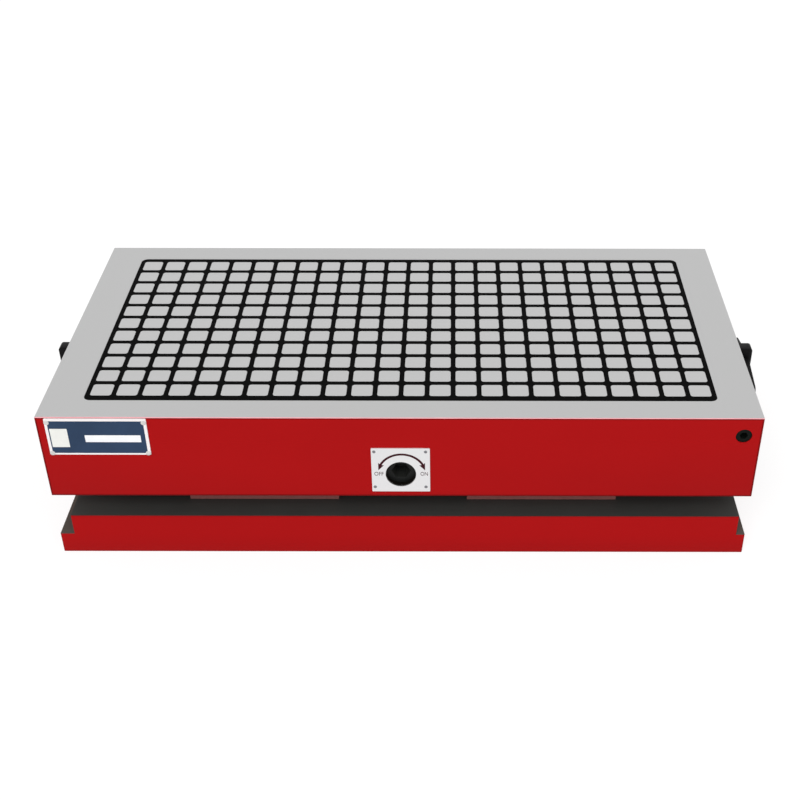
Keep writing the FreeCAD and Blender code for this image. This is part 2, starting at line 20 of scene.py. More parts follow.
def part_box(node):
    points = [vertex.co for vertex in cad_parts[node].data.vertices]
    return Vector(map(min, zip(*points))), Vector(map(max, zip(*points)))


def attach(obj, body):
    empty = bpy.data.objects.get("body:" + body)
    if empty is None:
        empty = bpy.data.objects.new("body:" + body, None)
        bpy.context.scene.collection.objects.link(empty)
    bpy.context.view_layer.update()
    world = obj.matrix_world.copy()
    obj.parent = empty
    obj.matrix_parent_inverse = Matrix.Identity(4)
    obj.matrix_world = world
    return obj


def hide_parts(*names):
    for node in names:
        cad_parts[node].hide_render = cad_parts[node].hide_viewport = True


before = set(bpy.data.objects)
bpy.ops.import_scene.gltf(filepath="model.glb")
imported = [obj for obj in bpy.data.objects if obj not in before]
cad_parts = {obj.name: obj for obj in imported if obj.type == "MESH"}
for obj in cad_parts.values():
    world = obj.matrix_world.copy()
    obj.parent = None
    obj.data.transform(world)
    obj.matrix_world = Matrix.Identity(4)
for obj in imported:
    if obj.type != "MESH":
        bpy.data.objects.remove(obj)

LOG = logging.getLogger("chuck")
MM = 0.001
WELD = 0.002 * MM          # corners nearer than this are one corner

Colour = tuple[float, float, float]
Triple = tuple[float, float, float]


def screen(red: int, green: int, blue: int) -> Colour:
    """Turns an 8-bit screen colour into the linear colour the shaders take.

    Args:
        red: Red from 0 to 255.
        green: Green from 0 to 255.
        blue: Blue from 0 to 255.

    Returns:
        The linear colour.
    """
    def linear(level: int) -> float:
        """Linear value of one 8-bit level."""
        part = level / 255
        return part / 12.92 if part <= 0.04045 else ((part + 0.055) / 1.055) ** 2.4

    return linear(red), linear(green), linear(blue)


# ---------------------------------------------------------------- node graphs
class NodeGraph:
    """Adds nodes to one tree and links them."""

    COLUMNS = 8
    STEP = (220, 280)

    def __init__(self, tree: bpy.types.NodeTree) -> None:
        """Starts on a tree, emptied first."""
        self.tree = tree
        self.tree.nodes.clear()

    def add(self, kind: str, inputs: dict[Any, Any] | None = None, **settings: Any) -> bpy.types.Node:
        """Adds one node.

        Args:
            kind: The node's type name.
            inputs: Value or source socket for each input, by its name or place.
            settings: Properties of the node itself.

        Returns:
            The new node.
        """
        node = self.tree.nodes.new(kind)
        count = len(self.tree.nodes) - 1
        node.location = (count % self.COLUMNS * self.STEP[0], -(count // self.COLUMNS) * self.STEP[1])
        for name, value in settings.items():
            setattr(node, name, value)
        for key, value in (inputs or {}).items():
            if isinstance(value, bpy.types.NodeSocket):
                self.tree.links.new(value, node.inputs[key])
            else:
                node.inputs[key].default_value = value
        return node

    def math(self, operation: str, first: Any, second: Any = 0.0, clamp: bool = False) -> Any:
        """Adds a Math node on one or two numbers and returns its result."""
        name = "ShaderNodeMath"
        return self.add(name, {0: first, 1: second}, operation=operation, use_clamp=clamp).outputs[0]

    def vector(self, operation: str, first: Any, second: Any = (0.0, 0.0, 0.0)) -> Any:
        """Adds a Vector Math node on two vectors and returns its result."""
        return self.add("ShaderNodeVectorMath", {0: first, 1: second}, operation=operation).outputs[0]

    def blend(self, factor: Any, first: Any, second: Any) -> Any:
        """Mixes two colours by a factor and returns the colour."""
        node = self.add("ShaderNodeMix", {0: factor}, data_type="RGBA")
        for socket, colour in ((node.inputs[6], first), (node.inputs[7], second)):
            if isinstance(colour, bpy.types.NodeSocket):
                self.tree.links.new(colour, socket)
            else:
                socket.default_value = (*colour, 1.0)
        return node.outputs[2]

    def group(self, tree: bpy.types.NodeTree, inputs: dict[str, Any]) -> bpy.types.Node:
        """Places a shader group with its own values."""
        node = self.add("ShaderNodeGroup", node_tree=tree)
        for name, value in inputs.items():
            if isinstance(value, bpy.types.NodeSocket):
                self.tree.links.new(value, node.inputs[name])
            else:
                node.inputs[name].default_value = value
        return node


class SocketKind(Enum):
    """Kinds of socket that the groups and trees use."""

    NUMBER = "NodeSocketFloat"
    COUNT = "NodeSocketInt"
    SWITCH = "NodeSocketBool"
    VECTOR = "NodeSocketVector"
    COLOUR = "NodeSocketColor"
    MATERIAL = "NodeSocketMaterial"
    GEOMETRY = "NodeSocketGeometry"


def open_tree(name: str, kind: str, inputs: dict[str, SocketKind],
              outputs: dict[str, SocketKind]) -> tuple[NodeGraph, Any, bpy.types.Node]:
    """Makes an empty node tree with named sockets.

    Args:
        name: Name of the tree.
        kind: ShaderNodeTree or GeometryNodeTree.
        inputs: Kind of each input by name.
        outputs: Kind of each output by name.

    Returns:
        The graph, the sockets that the inputs arrive on, and the output node.
    """
    tree = bpy.data.node_groups.new(name, kind)
    for label, socket in inputs.items():
        tree.interface.new_socket(label, in_out="INPUT", socket_type=socket.value)
    for label, socket in outputs.items():
        tree.interface.new_socket(label, in_out="OUTPUT", socket_type=socket.value)
    graph = NodeGraph(tree)
    return graph, graph.add("NodeGroupInput").outputs, graph.add("NodeGroupOutput")


class Effects:
    """Shader groups shared by the finishes, each built once."""

    built: dict[str, bpy.types.NodeTree] = {}

    @classmethod
    def get(cls, make: Callable[[], bpy.types.NodeTree]) -> bpy.types.NodeTree:
        """Returns the group that a method makes, built on its first use."""
        if make.__name__ not in cls.built:
            cls.built[make.__name__] = make()
        return cls.built[make.__name__]

    @staticmethod
    def tool_marks() -> bpy.types.NodeTree:
        """Marks drawn out along a direction: so many per metre along each axis."""
        graph, given, out = open_tree("tool_marks", "ShaderNodeTree",
                                      {"Marks": SocketKind.VECTOR}, {"Grain": SocketKind.NUMBER})
        place = graph.add("ShaderNodeTexCoord").outputs["Object"]
        drawn = graph.vector("MULTIPLY", place, given["Marks"])
        noise = graph.add("ShaderNodeTexNoise", {"Vector": drawn, "Scale": 1.0, "Detail": 5.0, "Roughness": 0.62})
        spread = graph.add("ShaderNodeMapRange", {"Value": noise.outputs[0], "From Min": 0.25, "From Max": 0.75})
        graph.tree.links.new(spread.outputs[0], out.inputs["Grain"])
        return graph.tree

    @staticmethod
    def clouding() -> bpy.types.NodeTree:
        """Slow patches of a given size, with a little fine speckle."""
        graph, given, out = open_tree("clouding", "ShaderNodeTree", {"Patch": SocketKind.NUMBER},
                                      {"Clouds": SocketKind.NUMBER, "Speckle": SocketKind.NUMBER})
        place = graph.add("ShaderNodeTexCoord").outputs["Object"]
        slow = graph.add("ShaderNodeTexNoise", {"Vector": place, "Detail": 3.0,
                                                "Scale": graph.math("DIVIDE", 1.0, given["Patch"])})
        fine = graph.add("ShaderNodeTexNoise", {"Vector": place, "Detail": 2.0,
                                                "Scale": graph.math("DIVIDE", 24.0, given["Patch"])})
        for noise, label in ((slow, "Clouds"), (fine, "Speckle")):
            spread = graph.add("ShaderNodeMapRange", {"Value": noise.outputs[0], "From Min": 0.3, "From Max": 0.7})
            graph.tree.links.new(spread.outputs[0], out.inputs[label])
        return graph.tree

    @staticmethod
    def edge_line() -> bpy.types.NodeTree:
        """Mask that rises to one along the edges of a block given by two corners."""
        graph, given, out = open_tree(
            "edge_line", "ShaderNodeTree",
            {"Low": SocketKind.VECTOR, "High": SocketKind.VECTOR, "Width": SocketKind.NUMBER,
             "Soft": SocketKind.NUMBER}, {"Edge": SocketKind.NUMBER})
        place = graph.add("ShaderNodeTexCoord").outputs["Object"]
        low = graph.vector("ABSOLUTE", graph.vector("SUBTRACT", place, given["Low"]))
        high = graph.vector("ABSOLUTE", graph.vector("SUBTRACT", given["High"], place))
        apart = graph.add("ShaderNodeSeparateXYZ", {0: graph.vector("MINIMUM", low, high)})
        near = [graph.math("DIVIDE", graph.math("SUBTRACT", given["Width"], side), given["Soft"], clamp=True)
                for side in apart.outputs]
        pairs = [graph.math("MULTIPLY", near[one], near[other]) for one, other in ((0, 1), (1, 2), (0, 2))]
        edge = graph.math("MAXIMUM", graph.math("MAXIMUM", pairs[0], pairs[1]), pairs[2])
        graph.tree.links.new(edge, out.inputs["Edge"])
        return graph.tree

    @staticmethod
    def tone_swing() -> bpy.types.NodeTree:
        """Lightens and darkens a colour by a share either side of itself."""
        graph, given, out = open_tree(
            "tone_swing", "ShaderNodeTree",
            {"Colour": SocketKind.COLOUR, "Share": SocketKind.NUMBER, "Value": SocketKind.NUMBER},
            {"Colour": SocketKind.COLOUR})
        swing = graph.math("MULTIPLY", graph.math("SUBTRACT", given["Value"], 0.5), given["Share"])
        level = graph.add("ShaderNodeVectorMath", {0: given["Colour"], "Scale": graph.math("ADD", 1.0, swing)},
                          operation="SCALE")
        graph.tree.links.new(level.outputs[0], out.inputs["Colour"])
        return graph.tree


# ---------------------------------------------------------------- finishes
@dataclass(frozen=True)
class Finish:
    """A finish made of tool marks, clouding, a swing of tone and a little relief.

    Attributes:
        name: Name of the material.
        colour: Linear base colour.
        roughness: Middle roughness.
        metallic: Metallic level.
        specular: Specular level of the coat or bare surface.
        marks: Tool marks per metre along each axis.
        patch: Size of the slow patches.
        tone: Share by which the colour swings.
        rough: Amount by which the roughness swings.
        relief: Height of the marks.
    """

    name: str
    colour: Colour
    roughness: float
    metallic: float = 0.0
    specular: float = 0.5
    marks: Triple = (400.0, 400.0, 400.0)
    patch: float = 0.03
    tone: float = 0.15
    rough: float = 0.06
    relief: float = 0.01 * MM

    def material(self) -> bpy.types.Material:
        """Returns the finish's material, built on its first use."""
        known = bpy.data.materials.get(self.name)
        if known is not None:
            return known
        made = bpy.data.materials.new(self.name)
        made.use_nodes = True
        graph = NodeGraph(made.node_tree)
        grain = graph.group(Effects.get(Effects.tool_marks), {"Marks": self.marks}).outputs["Grain"]
        cloud = graph.group(Effects.get(Effects.clouding), {"Patch": self.patch}).outputs
        value = graph.math("MULTIPLY", graph.math("ADD", grain, cloud["Clouds"]), 0.5)
        colour = graph.group(Effects.get(Effects.tone_swing),
                             {"Colour": (*self.colour, 1.0), "Share": self.tone, "Value": value})
        shader = graph.add("ShaderNodeBsdfPrincipled",
                           {"Metallic": self.metallic, "Specular IOR Level": self.specular,
                            "Base Color": self.toned(graph, colour.outputs["Colour"], cloud)})
        graph.tree.links.new(self.gloss(graph, grain), shader.inputs["Roughness"])
        bump = graph.add("ShaderNodeBump", {"Height": self.height(graph, grain, cloud),
                                            "Strength": 1.0, "Distance": self.relief})
        graph.tree.links.new(bump.outputs[0], shader.inputs["Normal"])
        graph.add("ShaderNodeOutputMaterial", {"Surface": shader.outputs[0]})
        return made

    def toned(self, graph: NodeGraph, colour: Any, cloud: Any) -> Any:
        """Colour of the finish over its swing; the plain finish adds nothing."""
        return colour

    def gloss(self, graph: NodeGraph, grain: Any) -> Any:
        """Roughness that swings with the marks."""
        return graph.add("ShaderNodeMapRange", {"Value": grain, "To Min": self.roughness - self.rough,
                                                "To Max": self.roughness + self.rough}).outputs[0]

    def height(self, graph: NodeGraph, grain: Any, cloud: Any) -> Any:
        """Relief of the finish: its tool marks."""
        return grain


@dataclass(frozen=True)
class BlockPaint(Finish):
    """Machine paint on a block: orange peel, and a darker line along the block's edges.

    Attributes:
        low: Low corner of the block.
        high: High corner of the block.
        line: Width of the darker line.
        soft: Width over which the line fades.
        dark: How far the line darkens.
    """

    low: Triple = (0.0, 0.0, 0.0)
    high: Triple = (0.0, 0.0, 0.0)
    line: float = 2.1 * MM
    soft: float = 0.8 * MM
    dark: float = 0.85

    def toned(self, graph: NodeGraph, colour: Any, cloud: Any) -> Any:
        """Darkens the paint along the block's edges, unevenly."""
        edge = graph.group(Effects.get(Effects.edge_line),
                           {"Low": self.low, "High": self.high, "Width": self.line,
                            "Soft": self.soft}).outputs["Edge"]
        uneven = graph.math("ADD", 0.75, graph.math("MULTIPLY", cloud["Clouds"], 0.25))
        amount = graph.math("MULTIPLY", graph.math("MULTIPLY", edge, uneven), self.dark)
        return graph.blend(amount, colour, tuple(0.35 * level for level in self.colour))

    def height(self, graph: NodeGraph, grain: Any, cloud: Any) -> Any:
        """Relief of the paint: soft orange peel with a trace of speckle."""
        return graph.math("ADD", grain, graph.math("MULTIPLY", cloud["Speckle"], 0.3))


@dataclass(frozen=True)
class PoleSteel(Finish):
    """Ground steel whose pole heads differ a little from one another."""

    def toned(self, graph: NodeGraph, colour: Any, cloud: Any) -> Any:
        """Shifts each head by its own stored tint."""
        tint = graph.add("ShaderNodeAttribute", attribute_name="tint").outputs["Fac"]
        swing = graph.group(Effects.get(Effects.tone_swing), {"Share": 1.0, "Value": graph.math("ADD", 0.5, tint)})
        graph.tree.links.new(colour, swing.inputs["Colour"])
        return swing.outputs["Colour"]


@dataclass(frozen=True)
class SpeckledFinish(Finish):
    """Cast or sintered stuff with pale specks.

    Attributes:
        speck: Colour of the specks.
        amount: Share that the specks show.
    """

    speck: Colour = (0.1, 0.1, 0.1)
    amount: float = 0.3

    def toned(self, graph: NodeGraph, colour: Any, cloud: Any) -> Any:
        """Lays the specks over the colour where the speckle is highest."""
        peak = graph.add("ShaderNodeMapRange", {"Value": cloud["Speckle"], "From Min": 0.78}).outputs[0]
        return graph.blend(graph.math("MULTIPLY", peak, self.amount), colour, self.speck)


RED = screen(170, 18, 20)
GROUND = Finish("ground_steel", screen(184, 184, 184), 0.36, metallic=1.0, marks=(9.0, 750.0, 9.0),
                patch=0.09, tone=0.10, rough=0.05, relief=0.002 * MM)
POLES = PoleSteel("pole_steel", screen(188, 188, 188), 0.36, metallic=1.0, marks=(12.0, 900.0, 12.0),
                  patch=0.05, tone=0.08, rough=0.05, relief=0.002 * MM)
RESIN = SpeckledFinish("cast_resin", screen(8, 8, 8), 0.6, specular=0.015, marks=(90.0, 900.0, 90.0),
                       patch=0.02, tone=0.3, rough=0.06, speck=screen(30, 30, 30), amount=0.25)
# Pale pink on the top plate's long chamfers: the chamfers are bare ground steel, and this colour is a painted
# highlight standing in for the white room they reflect.
CHAMFER_HIGHLIGHT = Finish("chamfer_painted_highlight", screen(222, 160, 166), 0.5, specular=0.2, marks=(120.0, 120.0, 120.0),
                   patch=0.02, tone=0.2)
# Groove floor: the same grey oxide as the end ledges, set darker as painted shade under the housing's overhang.
PLATFORM_OXIDE_SHADED = Finish("platform_oxide_painted_shade", screen(61, 62, 60), 0.5, metallic=0.25, specular=0.2,
                  marks=(30.0, 500.0, 30.0), patch=0.06, tone=0.3, relief=0.004 * MM)
GREY_OXIDE = Finish("grey_oxide", screen(79, 73, 68), 0.62, specular=0.1, marks=(30.0, 500.0, 30.0),
                    patch=0.06, tone=0.3, relief=0.004 * MM)
# Waist pads: steel tinted red; the tint is a painted reflection of the red paint round the groove.
WAIST_STEEL_RED_BOUNCE = Finish("waist_steel_painted_red_bounce", screen(130, 80, 77), 0.55, specular=0.2, marks=(400.0, 30.0, 30.0),
                     patch=0.05, tone=0.3, relief=0.006 * MM)
BARE_STEEL = Finish("bare_machined_steel", screen(150, 150, 150), 0.42, metallic=1.0,
                    marks=(600.0, 40.0, 600.0), patch=0.05, tone=0.2)
BLACK_SATIN = Finish("satin_black", screen(16, 16, 17), 0.5, specular=0.1, marks=(500.0, 500.0, 500.0),
                     patch=0.015, tone=0.35, relief=0.012 * MM)
BLACK_OXIDE = Finish("black_oxide", screen(19, 20, 19), 0.45, specular=0.16, marks=(700.0, 60.0, 700.0),
                     patch=0.01, tone=0.35, relief=0.004 * MM)
TURNED_STEEL = Finish("turned_steel", screen(40, 41, 41), 0.38, metallic=0.6, marks=(60.0, 1500.0, 60.0),
                      patch=0.02, tone=0.3, relief=0.004 * MM)
MILLED_STEEL = Finish("milled_steel", screen(142, 143, 145), 0.4, metallic=1.0, marks=(350.0, 25.0, 350.0),
                      patch=0.04, tone=0.25)
STAINLESS = Finish("stainless_sheet", screen(178, 177, 173), 0.3, metallic=1.0, marks=(10.0, 1500.0, 10.0),
                   patch=0.08, tone=0.12, relief=0.002 * MM)
ALUMINIUM = Finish("milled_aluminium", screen(200, 201, 203), 0.34, metallic=1.0, marks=(400.0, 30.0, 400.0),
                   patch=0.05, tone=0.15)
# Shaft bushes: bronze darkened nearly to black, a painted shade for the dark inside of the key hole.
BRONZE_PAINTED_SHADE = Finish("shaft_bush_bronze_painted_shade", screen(36, 31, 26), 0.4, metallic=0.7, marks=(80.0, 900.0, 80.0),
                      patch=0.02, tone=0.3)
BRONZE = Finish("bronze_rail", screen(176, 128, 66), 0.36, metallic=1.0, marks=(12.0, 900.0, 900.0),
                patch=0.03, tone=0.25)
MAGNET = SpeckledFinish("sintered_magnet", screen(68, 68, 71), 0.55, specular=0.3, marks=(300.0, 300.0, 300.0),
                        patch=0.015, tone=0.3, speck=screen(120, 120, 124), amount=0.4)
RUBBER = Finish("seal_rubber", screen(30, 30, 30), 0.75, specular=0.2, marks=(200.0, 200.0, 200.0),
                patch=0.01, tone=0.3)
SILVER = Finish("silver_plate", screen(238, 236, 237), 0.42, metallic=0.8, specular=0.3,
                marks=(20.0, 60.0, 1400.0), patch=0.02, tone=0.06, rough=0.04, relief=0.002 * MM)
BLUE_PRINT = Finish("blue_print", screen(45, 64, 91), 0.42, specular=0.15, marks=(90.0, 90.0, 90.0),
                    patch=0.035, tone=0.3, rough=0.04, relief=0.002 * MM)
WHITE_PRINT = Finish("white_print", screen(250, 251, 253), 0.45, specular=0.15, marks=(200.0, 200.0, 200.0),
                     patch=0.01, tone=0.05, rough=0.04, relief=0.002 * MM)
PAPER_PRINT = Finish("paper_print", screen(240, 240, 235), 0.5, specular=0.1, marks=(300.0, 300.0, 300.0),
                     patch=0.006, tone=0.08, rough=0.04, relief=0.002 * MM)
NAME_TRIM = Finish("name_trim", screen(250, 245, 245), 0.42, metallic=0.3, specular=0.3,
                   marks=(20.0, 60.0, 1400.0), patch=0.02, tone=0.06, rough=0.04, relief=0.002 * MM)
SOCKET_STEEL = Finish("socket_steel", screen(36, 37, 35), 0.45, specular=0.16, marks=(60.0, 700.0, 60.0),
                      patch=0.01, tone=0.35, relief=0.004 * MM)
MAROON_INK = Finish("maroon_ink", screen(58, 18, 26), 0.5, specular=0.1, marks=(500.0, 500.0, 500.0),
                    patch=0.008, tone=0.25, rough=0.04, relief=0.002 * MM)
PLUG_BLACK = Finish("plug_black", screen(13, 17, 14), 0.55, specular=0.08, marks=(700.0, 700.0, 700.0),
                    patch=0.006, tone=0.4, relief=0.004 * MM)
RIVET = Finish("rivet", screen(214, 212, 210), 0.4, metallic=0.7, marks=(900.0, 900.0, 900.0),
               patch=0.003, tone=0.3, relief=0.002 * MM)
SMALL_SCREW = Finish("small_screw", screen(132, 132, 136), 0.36, metallic=0.8, marks=(900.0, 900.0, 900.0),
                     patch=0.003, tone=0.3, relief=0.002 * MM)


# ---------------------------------------------------------------- meshes
def welded(node: str) -> bmesh.types.BMesh:
    """Returns a copy of a node's mesh, its corners joined and its flat faces whole."""
    work = bmesh.new()
    work.from_mesh(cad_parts[node].data)
    bmesh.ops.remove_doubles(work, verts=work.verts, dist=WELD)
    bmesh.ops.dissolve_limit(work, angle_limit=math.radians(0.5), verts=work.verts, edges=work.edges)
    return work


def show(name: str, mesh: bpy.types.Mesh, smooth: float = 35.0) -> bpy.types.Object:
    """Puts a mesh in the scene as a piece at the origin.

    Args:
        name: Name of the piece.
        mesh: Its mesh, already in place.
        smooth: Edges sharper than this many degrees stay sharp.

    Returns:
        The piece.
    """
    mesh.name = name
    mesh.polygons.foreach_set("use_smooth", [True] * len(mesh.polygons))
    mesh.set_sharp_from_angle(angle=math.radians(smooth))
    piece = bpy.data.objects.new(name, mesh)
    bpy.context.scene.collection.objects.link(piece)
    return piece


def settled(piece: bpy.types.Object) -> bpy.types.Mesh:
    """Turns a helper object's evaluated shape into a plain mesh and removes the helper."""
    bpy.context.view_layer.update()
    view = bpy.context.evaluated_depsgraph_get()
    mesh = bpy.data.meshes.new_from_object(piece.evaluated_get(view), preserve_all_data_layers=True,
                                           depsgraph=view)
    bpy.data.objects.remove(piece)
    return mesh


@dataclass
class SoftEdged:
    """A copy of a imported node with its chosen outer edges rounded.

    Attributes:
        node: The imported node.
        width: Width of the rounding.
        rounds: Segments in the rounding.
        chosen: Which edges are rounded, by their two ends.
    """

    node: str
    width: float
    rounds: int = 2
    chosen: Callable[[Vector, Vector], bool] = lambda start, end: True

    def mesh(self) -> bpy.types.Mesh:
        """Builds the rounded mesh."""
        work = welded(self.node)
        weight = work.edges.layers.float.new("bevel_weight_edge")
        for edge in work.edges:
            if len(edge.link_faces) == 2 and edge.is_convex and edge.calc_face_angle() > math.radians(40):
                edge[weight] = float(self.chosen(edge.verts[0].co, edge.verts[1].co))
        mesh = bpy.data.meshes.new(self.node + "_soft")
        work.to_mesh(mesh)
        work.free()
        if "custom_normal" in mesh.attributes:
            mesh.attributes.remove(mesh.attributes["custom_normal"])
        helper = bpy.data.objects.new(self.node + "_helper", mesh)
        bpy.context.scene.collection.objects.link(helper)
        bevel = helper.modifiers.new("Soft edges", "BEVEL")
        bevel.limit_method = "WEIGHT"
        bevel.width = self.width
        bevel.segments = self.rounds
        return settled(helper)


def flat_outline(points: Sequence[tuple[float, float]], front: float, back: float) -> bpy.types.Mesh:
    """Makes a flat piece from an outline seen from the front.

    Args:
        points: X and Z of the outline's corners, counter-clockwise seen from the front.
        front: Y of the front face.
        back: Y of the back face.

    Returns:
        The closed mesh.
    """
    work = bmesh.new()
    near = [work.verts.new((x, front, z)) for x, z in points]
    far = [work.verts.new((x, back, z)) for x, z in points]
    work.faces.new(near)
    work.faces.new(far[::-1])
    for place in range(len(points)):
        after = (place + 1) % len(points)
        work.faces.new((near[after], near[place], far[place], far[after]))
    bmesh.ops.recalc_face_normals(work, faces=work.faces)
    bmesh.ops.triangulate(work, faces=[face for face in work.faces if len(face.verts) > 4])
    mesh = bpy.data.meshes.new("outline")
    work.to_mesh(mesh)
    work.free()
    return mesh


# ---------------------------------------------------------------- geometry trees
class Maker:
    """A geometry tree with named inputs that makes a plain mesh from their values."""

    inputs: dict[str, SocketKind] = {}
    tree: bpy.types.NodeTree | None = None

    def build(self, graph: NodeGraph, given: Any) -> Any:
        """Adds the tree's nodes and returns the socket that carries its geometry."""
        raise NotImplementedError

    def ready(self) -> bpy.types.NodeTree:
        """Returns the tree, built on its first use."""
        if type(self).tree is None:
            sockets = {**self.inputs, "Finish": SocketKind.MATERIAL}
            graph, given, out = open_tree(type(self).__name__, "GeometryNodeTree", sockets,
                                          {"Geometry": SocketKind.GEOMETRY})
            real = graph.add("GeometryNodeRealizeInstances", {"Geometry": self.build(graph, given)})
            coated = graph.add("GeometryNodeSetMaterial", {"Geometry": real.outputs[0], "Material": given["Finish"]})
            graph.tree.links.new(coated.outputs[0], out.inputs["Geometry"])
            type(self).tree = graph.tree
        return type(self).tree

    def make(self, finish: Finish, **values: Any) -> bpy.types.Mesh:
        """Makes a mesh.

        Args:
            finish: Finish of the whole mesh.
            values: Value of each input, its name in lower case with underscores.

        Returns:
            The plain mesh.
        """
        tree = self.ready()
        helper = bpy.data.objects.new(tree.name + "_helper", bpy.data.meshes.new(tree.name))
        bpy.context.scene.collection.objects.link(helper)
        modifier = helper.modifiers.new(tree.name, "NODES")
        modifier.node_group = tree
        wanted = {name.replace("_", " ").title(): value for name, value in values.items()}
        wanted["Finish"] = finish.material()
        for socket in tree.interface.items_tree:
            if socket.in_out == "INPUT":
                modifier[socket.identifier] = wanted[socket.name]
        return settled(helper)


class BarMaker(Maker):
    """Rows of pole bars with rounded square heads standing on them."""

    inputs = {"Bars": SocketKind.COUNT, "Heads": SocketKind.COUNT, "Bar Step": SocketKind.NUMBER,
              "Head Step": SocketKind.NUMBER, "Head": SocketKind.NUMBER, "Head Length": SocketKind.NUMBER,
              "Corner": SocketKind.NUMBER,
              "Head Height": SocketKind.NUMBER, "Bevel": SocketKind.NUMBER, "Bar": SocketKind.VECTOR,
              "Middle": SocketKind.VECTOR, "Tint": SocketKind.NUMBER}

    def head(self, graph: NodeGraph, given: Any) -> Any:
        """One closed head, its foot on the ground and its top edge bevelled."""
        square = graph.add("GeometryNodeCurvePrimitiveQuadrilateral", {"Width": given["Head"],
                                                                       "Height": given["Head Length"]})
        round_off = graph.add("GeometryNodeFilletCurve", {"Curve": square.outputs[0], "Count": 3,
                                                          "Radius": given["Corner"]}, mode="POLY")
        foot = graph.add("GeometryNodeFillCurve", {"Curve": round_off.outputs[0]}, mode="NGONS").outputs[0]
        side = graph.add("GeometryNodeExtrudeMesh", {
            "Mesh": foot, "Individual": False, "Offset Scale": graph.math("SUBTRACT", given["Head Height"], given["Bevel"])})
        lip = graph.add("GeometryNodeExtrudeMesh", {"Mesh": side.outputs["Mesh"], "Selection": side.outputs["Top"],
                                                    "Individual": False, "Offset Scale": given["Bevel"]})
        twice = graph.math("MULTIPLY", given["Bevel"], 2.0)
        shrink = graph.math("DIVIDE", graph.math("SUBTRACT", given["Head"], twice), given["Head"])
        top = graph.add("GeometryNodeScaleElements", {"Geometry": lip.outputs["Mesh"],
                                                      "Selection": lip.outputs["Top"], "Scale": shrink})
        under = graph.add("GeometryNodeFlipFaces", {"Mesh": foot})
        closed = graph.add("GeometryNodeJoinGeometry")
        for part in (top, under):
            graph.tree.links.new(part.outputs[0], closed.inputs[0])
        return graph.add("GeometryNodeMergeByDistance", {"Geometry": closed.outputs[0], "Distance": WELD}).outputs[0]

    def grid(self, graph: NodeGraph, given: Any) -> Any:
        """Points at the middle of every head, on the foot's level."""
        spans = [graph.math("MULTIPLY", graph.math("SUBTRACT", given[count], 1.0), given[step])
                 for count, step in (("Bars", "Bar Step"), ("Heads", "Head Step"))]
        return graph.add("GeometryNodeMeshGrid", {"Size X": spans[0], "Size Y": spans[1],
                                                  "Vertices X": given["Bars"], "Vertices Y": given["Heads"]})

    def build(self, graph: NodeGraph, given: Any) -> Any:
        """Heads on a grid, each with its own tint, over one bar for each column."""
        heads = graph.add("GeometryNodeInstanceOnPoints", {"Points": self.grid(graph, given).outputs[0],
                                                           "Instance": self.head(graph, given)})
        chance = graph.add("FunctionNodeRandomValue", {"Seed": 7}, data_type="FLOAT")
        low = graph.math("MULTIPLY", given["Tint"], -1.0)
        graph.tree.links.new(low, chance.inputs[2])
        graph.tree.links.new(given["Tint"], chance.inputs[3])
        tinted = graph.add("GeometryNodeStoreNamedAttribute", {"Geometry": heads.outputs[0], "Name": "tint"},
                           data_type="FLOAT", domain="INSTANCE")
        graph.tree.links.new(chance.outputs[1], next(s for s in tinted.inputs if s.name == "Value" and s.enabled))
        body = graph.add("GeometryNodeMeshCube", {"Size": given["Bar"]})
        tall = graph.add("ShaderNodeSeparateXYZ", {0: given["Bar"]}).outputs[2]
        sunk = graph.add("ShaderNodeCombineXYZ", {2: graph.math("MULTIPLY", tall, -0.5)})
        lowered = graph.add("GeometryNodeTransform", {"Geometry": body.outputs[0], "Translation": sunk.outputs[0]})
        one_row = graph.add("GeometryNodeMeshGrid", {
            "Size X": graph.math("MULTIPLY", graph.math("SUBTRACT", given["Bars"], 1.0), given["Bar Step"]),
            "Size Y": 0.0, "Vertices X": given["Bars"], "Vertices Y": 2})
        ends = graph.add("GeometryNodeMergeByDistance", {"Geometry": one_row.outputs[0], "Distance": WELD})
        bars = graph.add("GeometryNodeInstanceOnPoints", {"Points": ends.outputs[0], "Instance": lowered.outputs[0]})
        both = graph.add("GeometryNodeJoinGeometry")
        for part in (tinted, bars):
            graph.tree.links.new(part.outputs[0], both.inputs[0])
        return graph.add("GeometryNodeTransform", {"Geometry": both.outputs[0],
                                                   "Translation": given["Middle"]}).outputs[0]


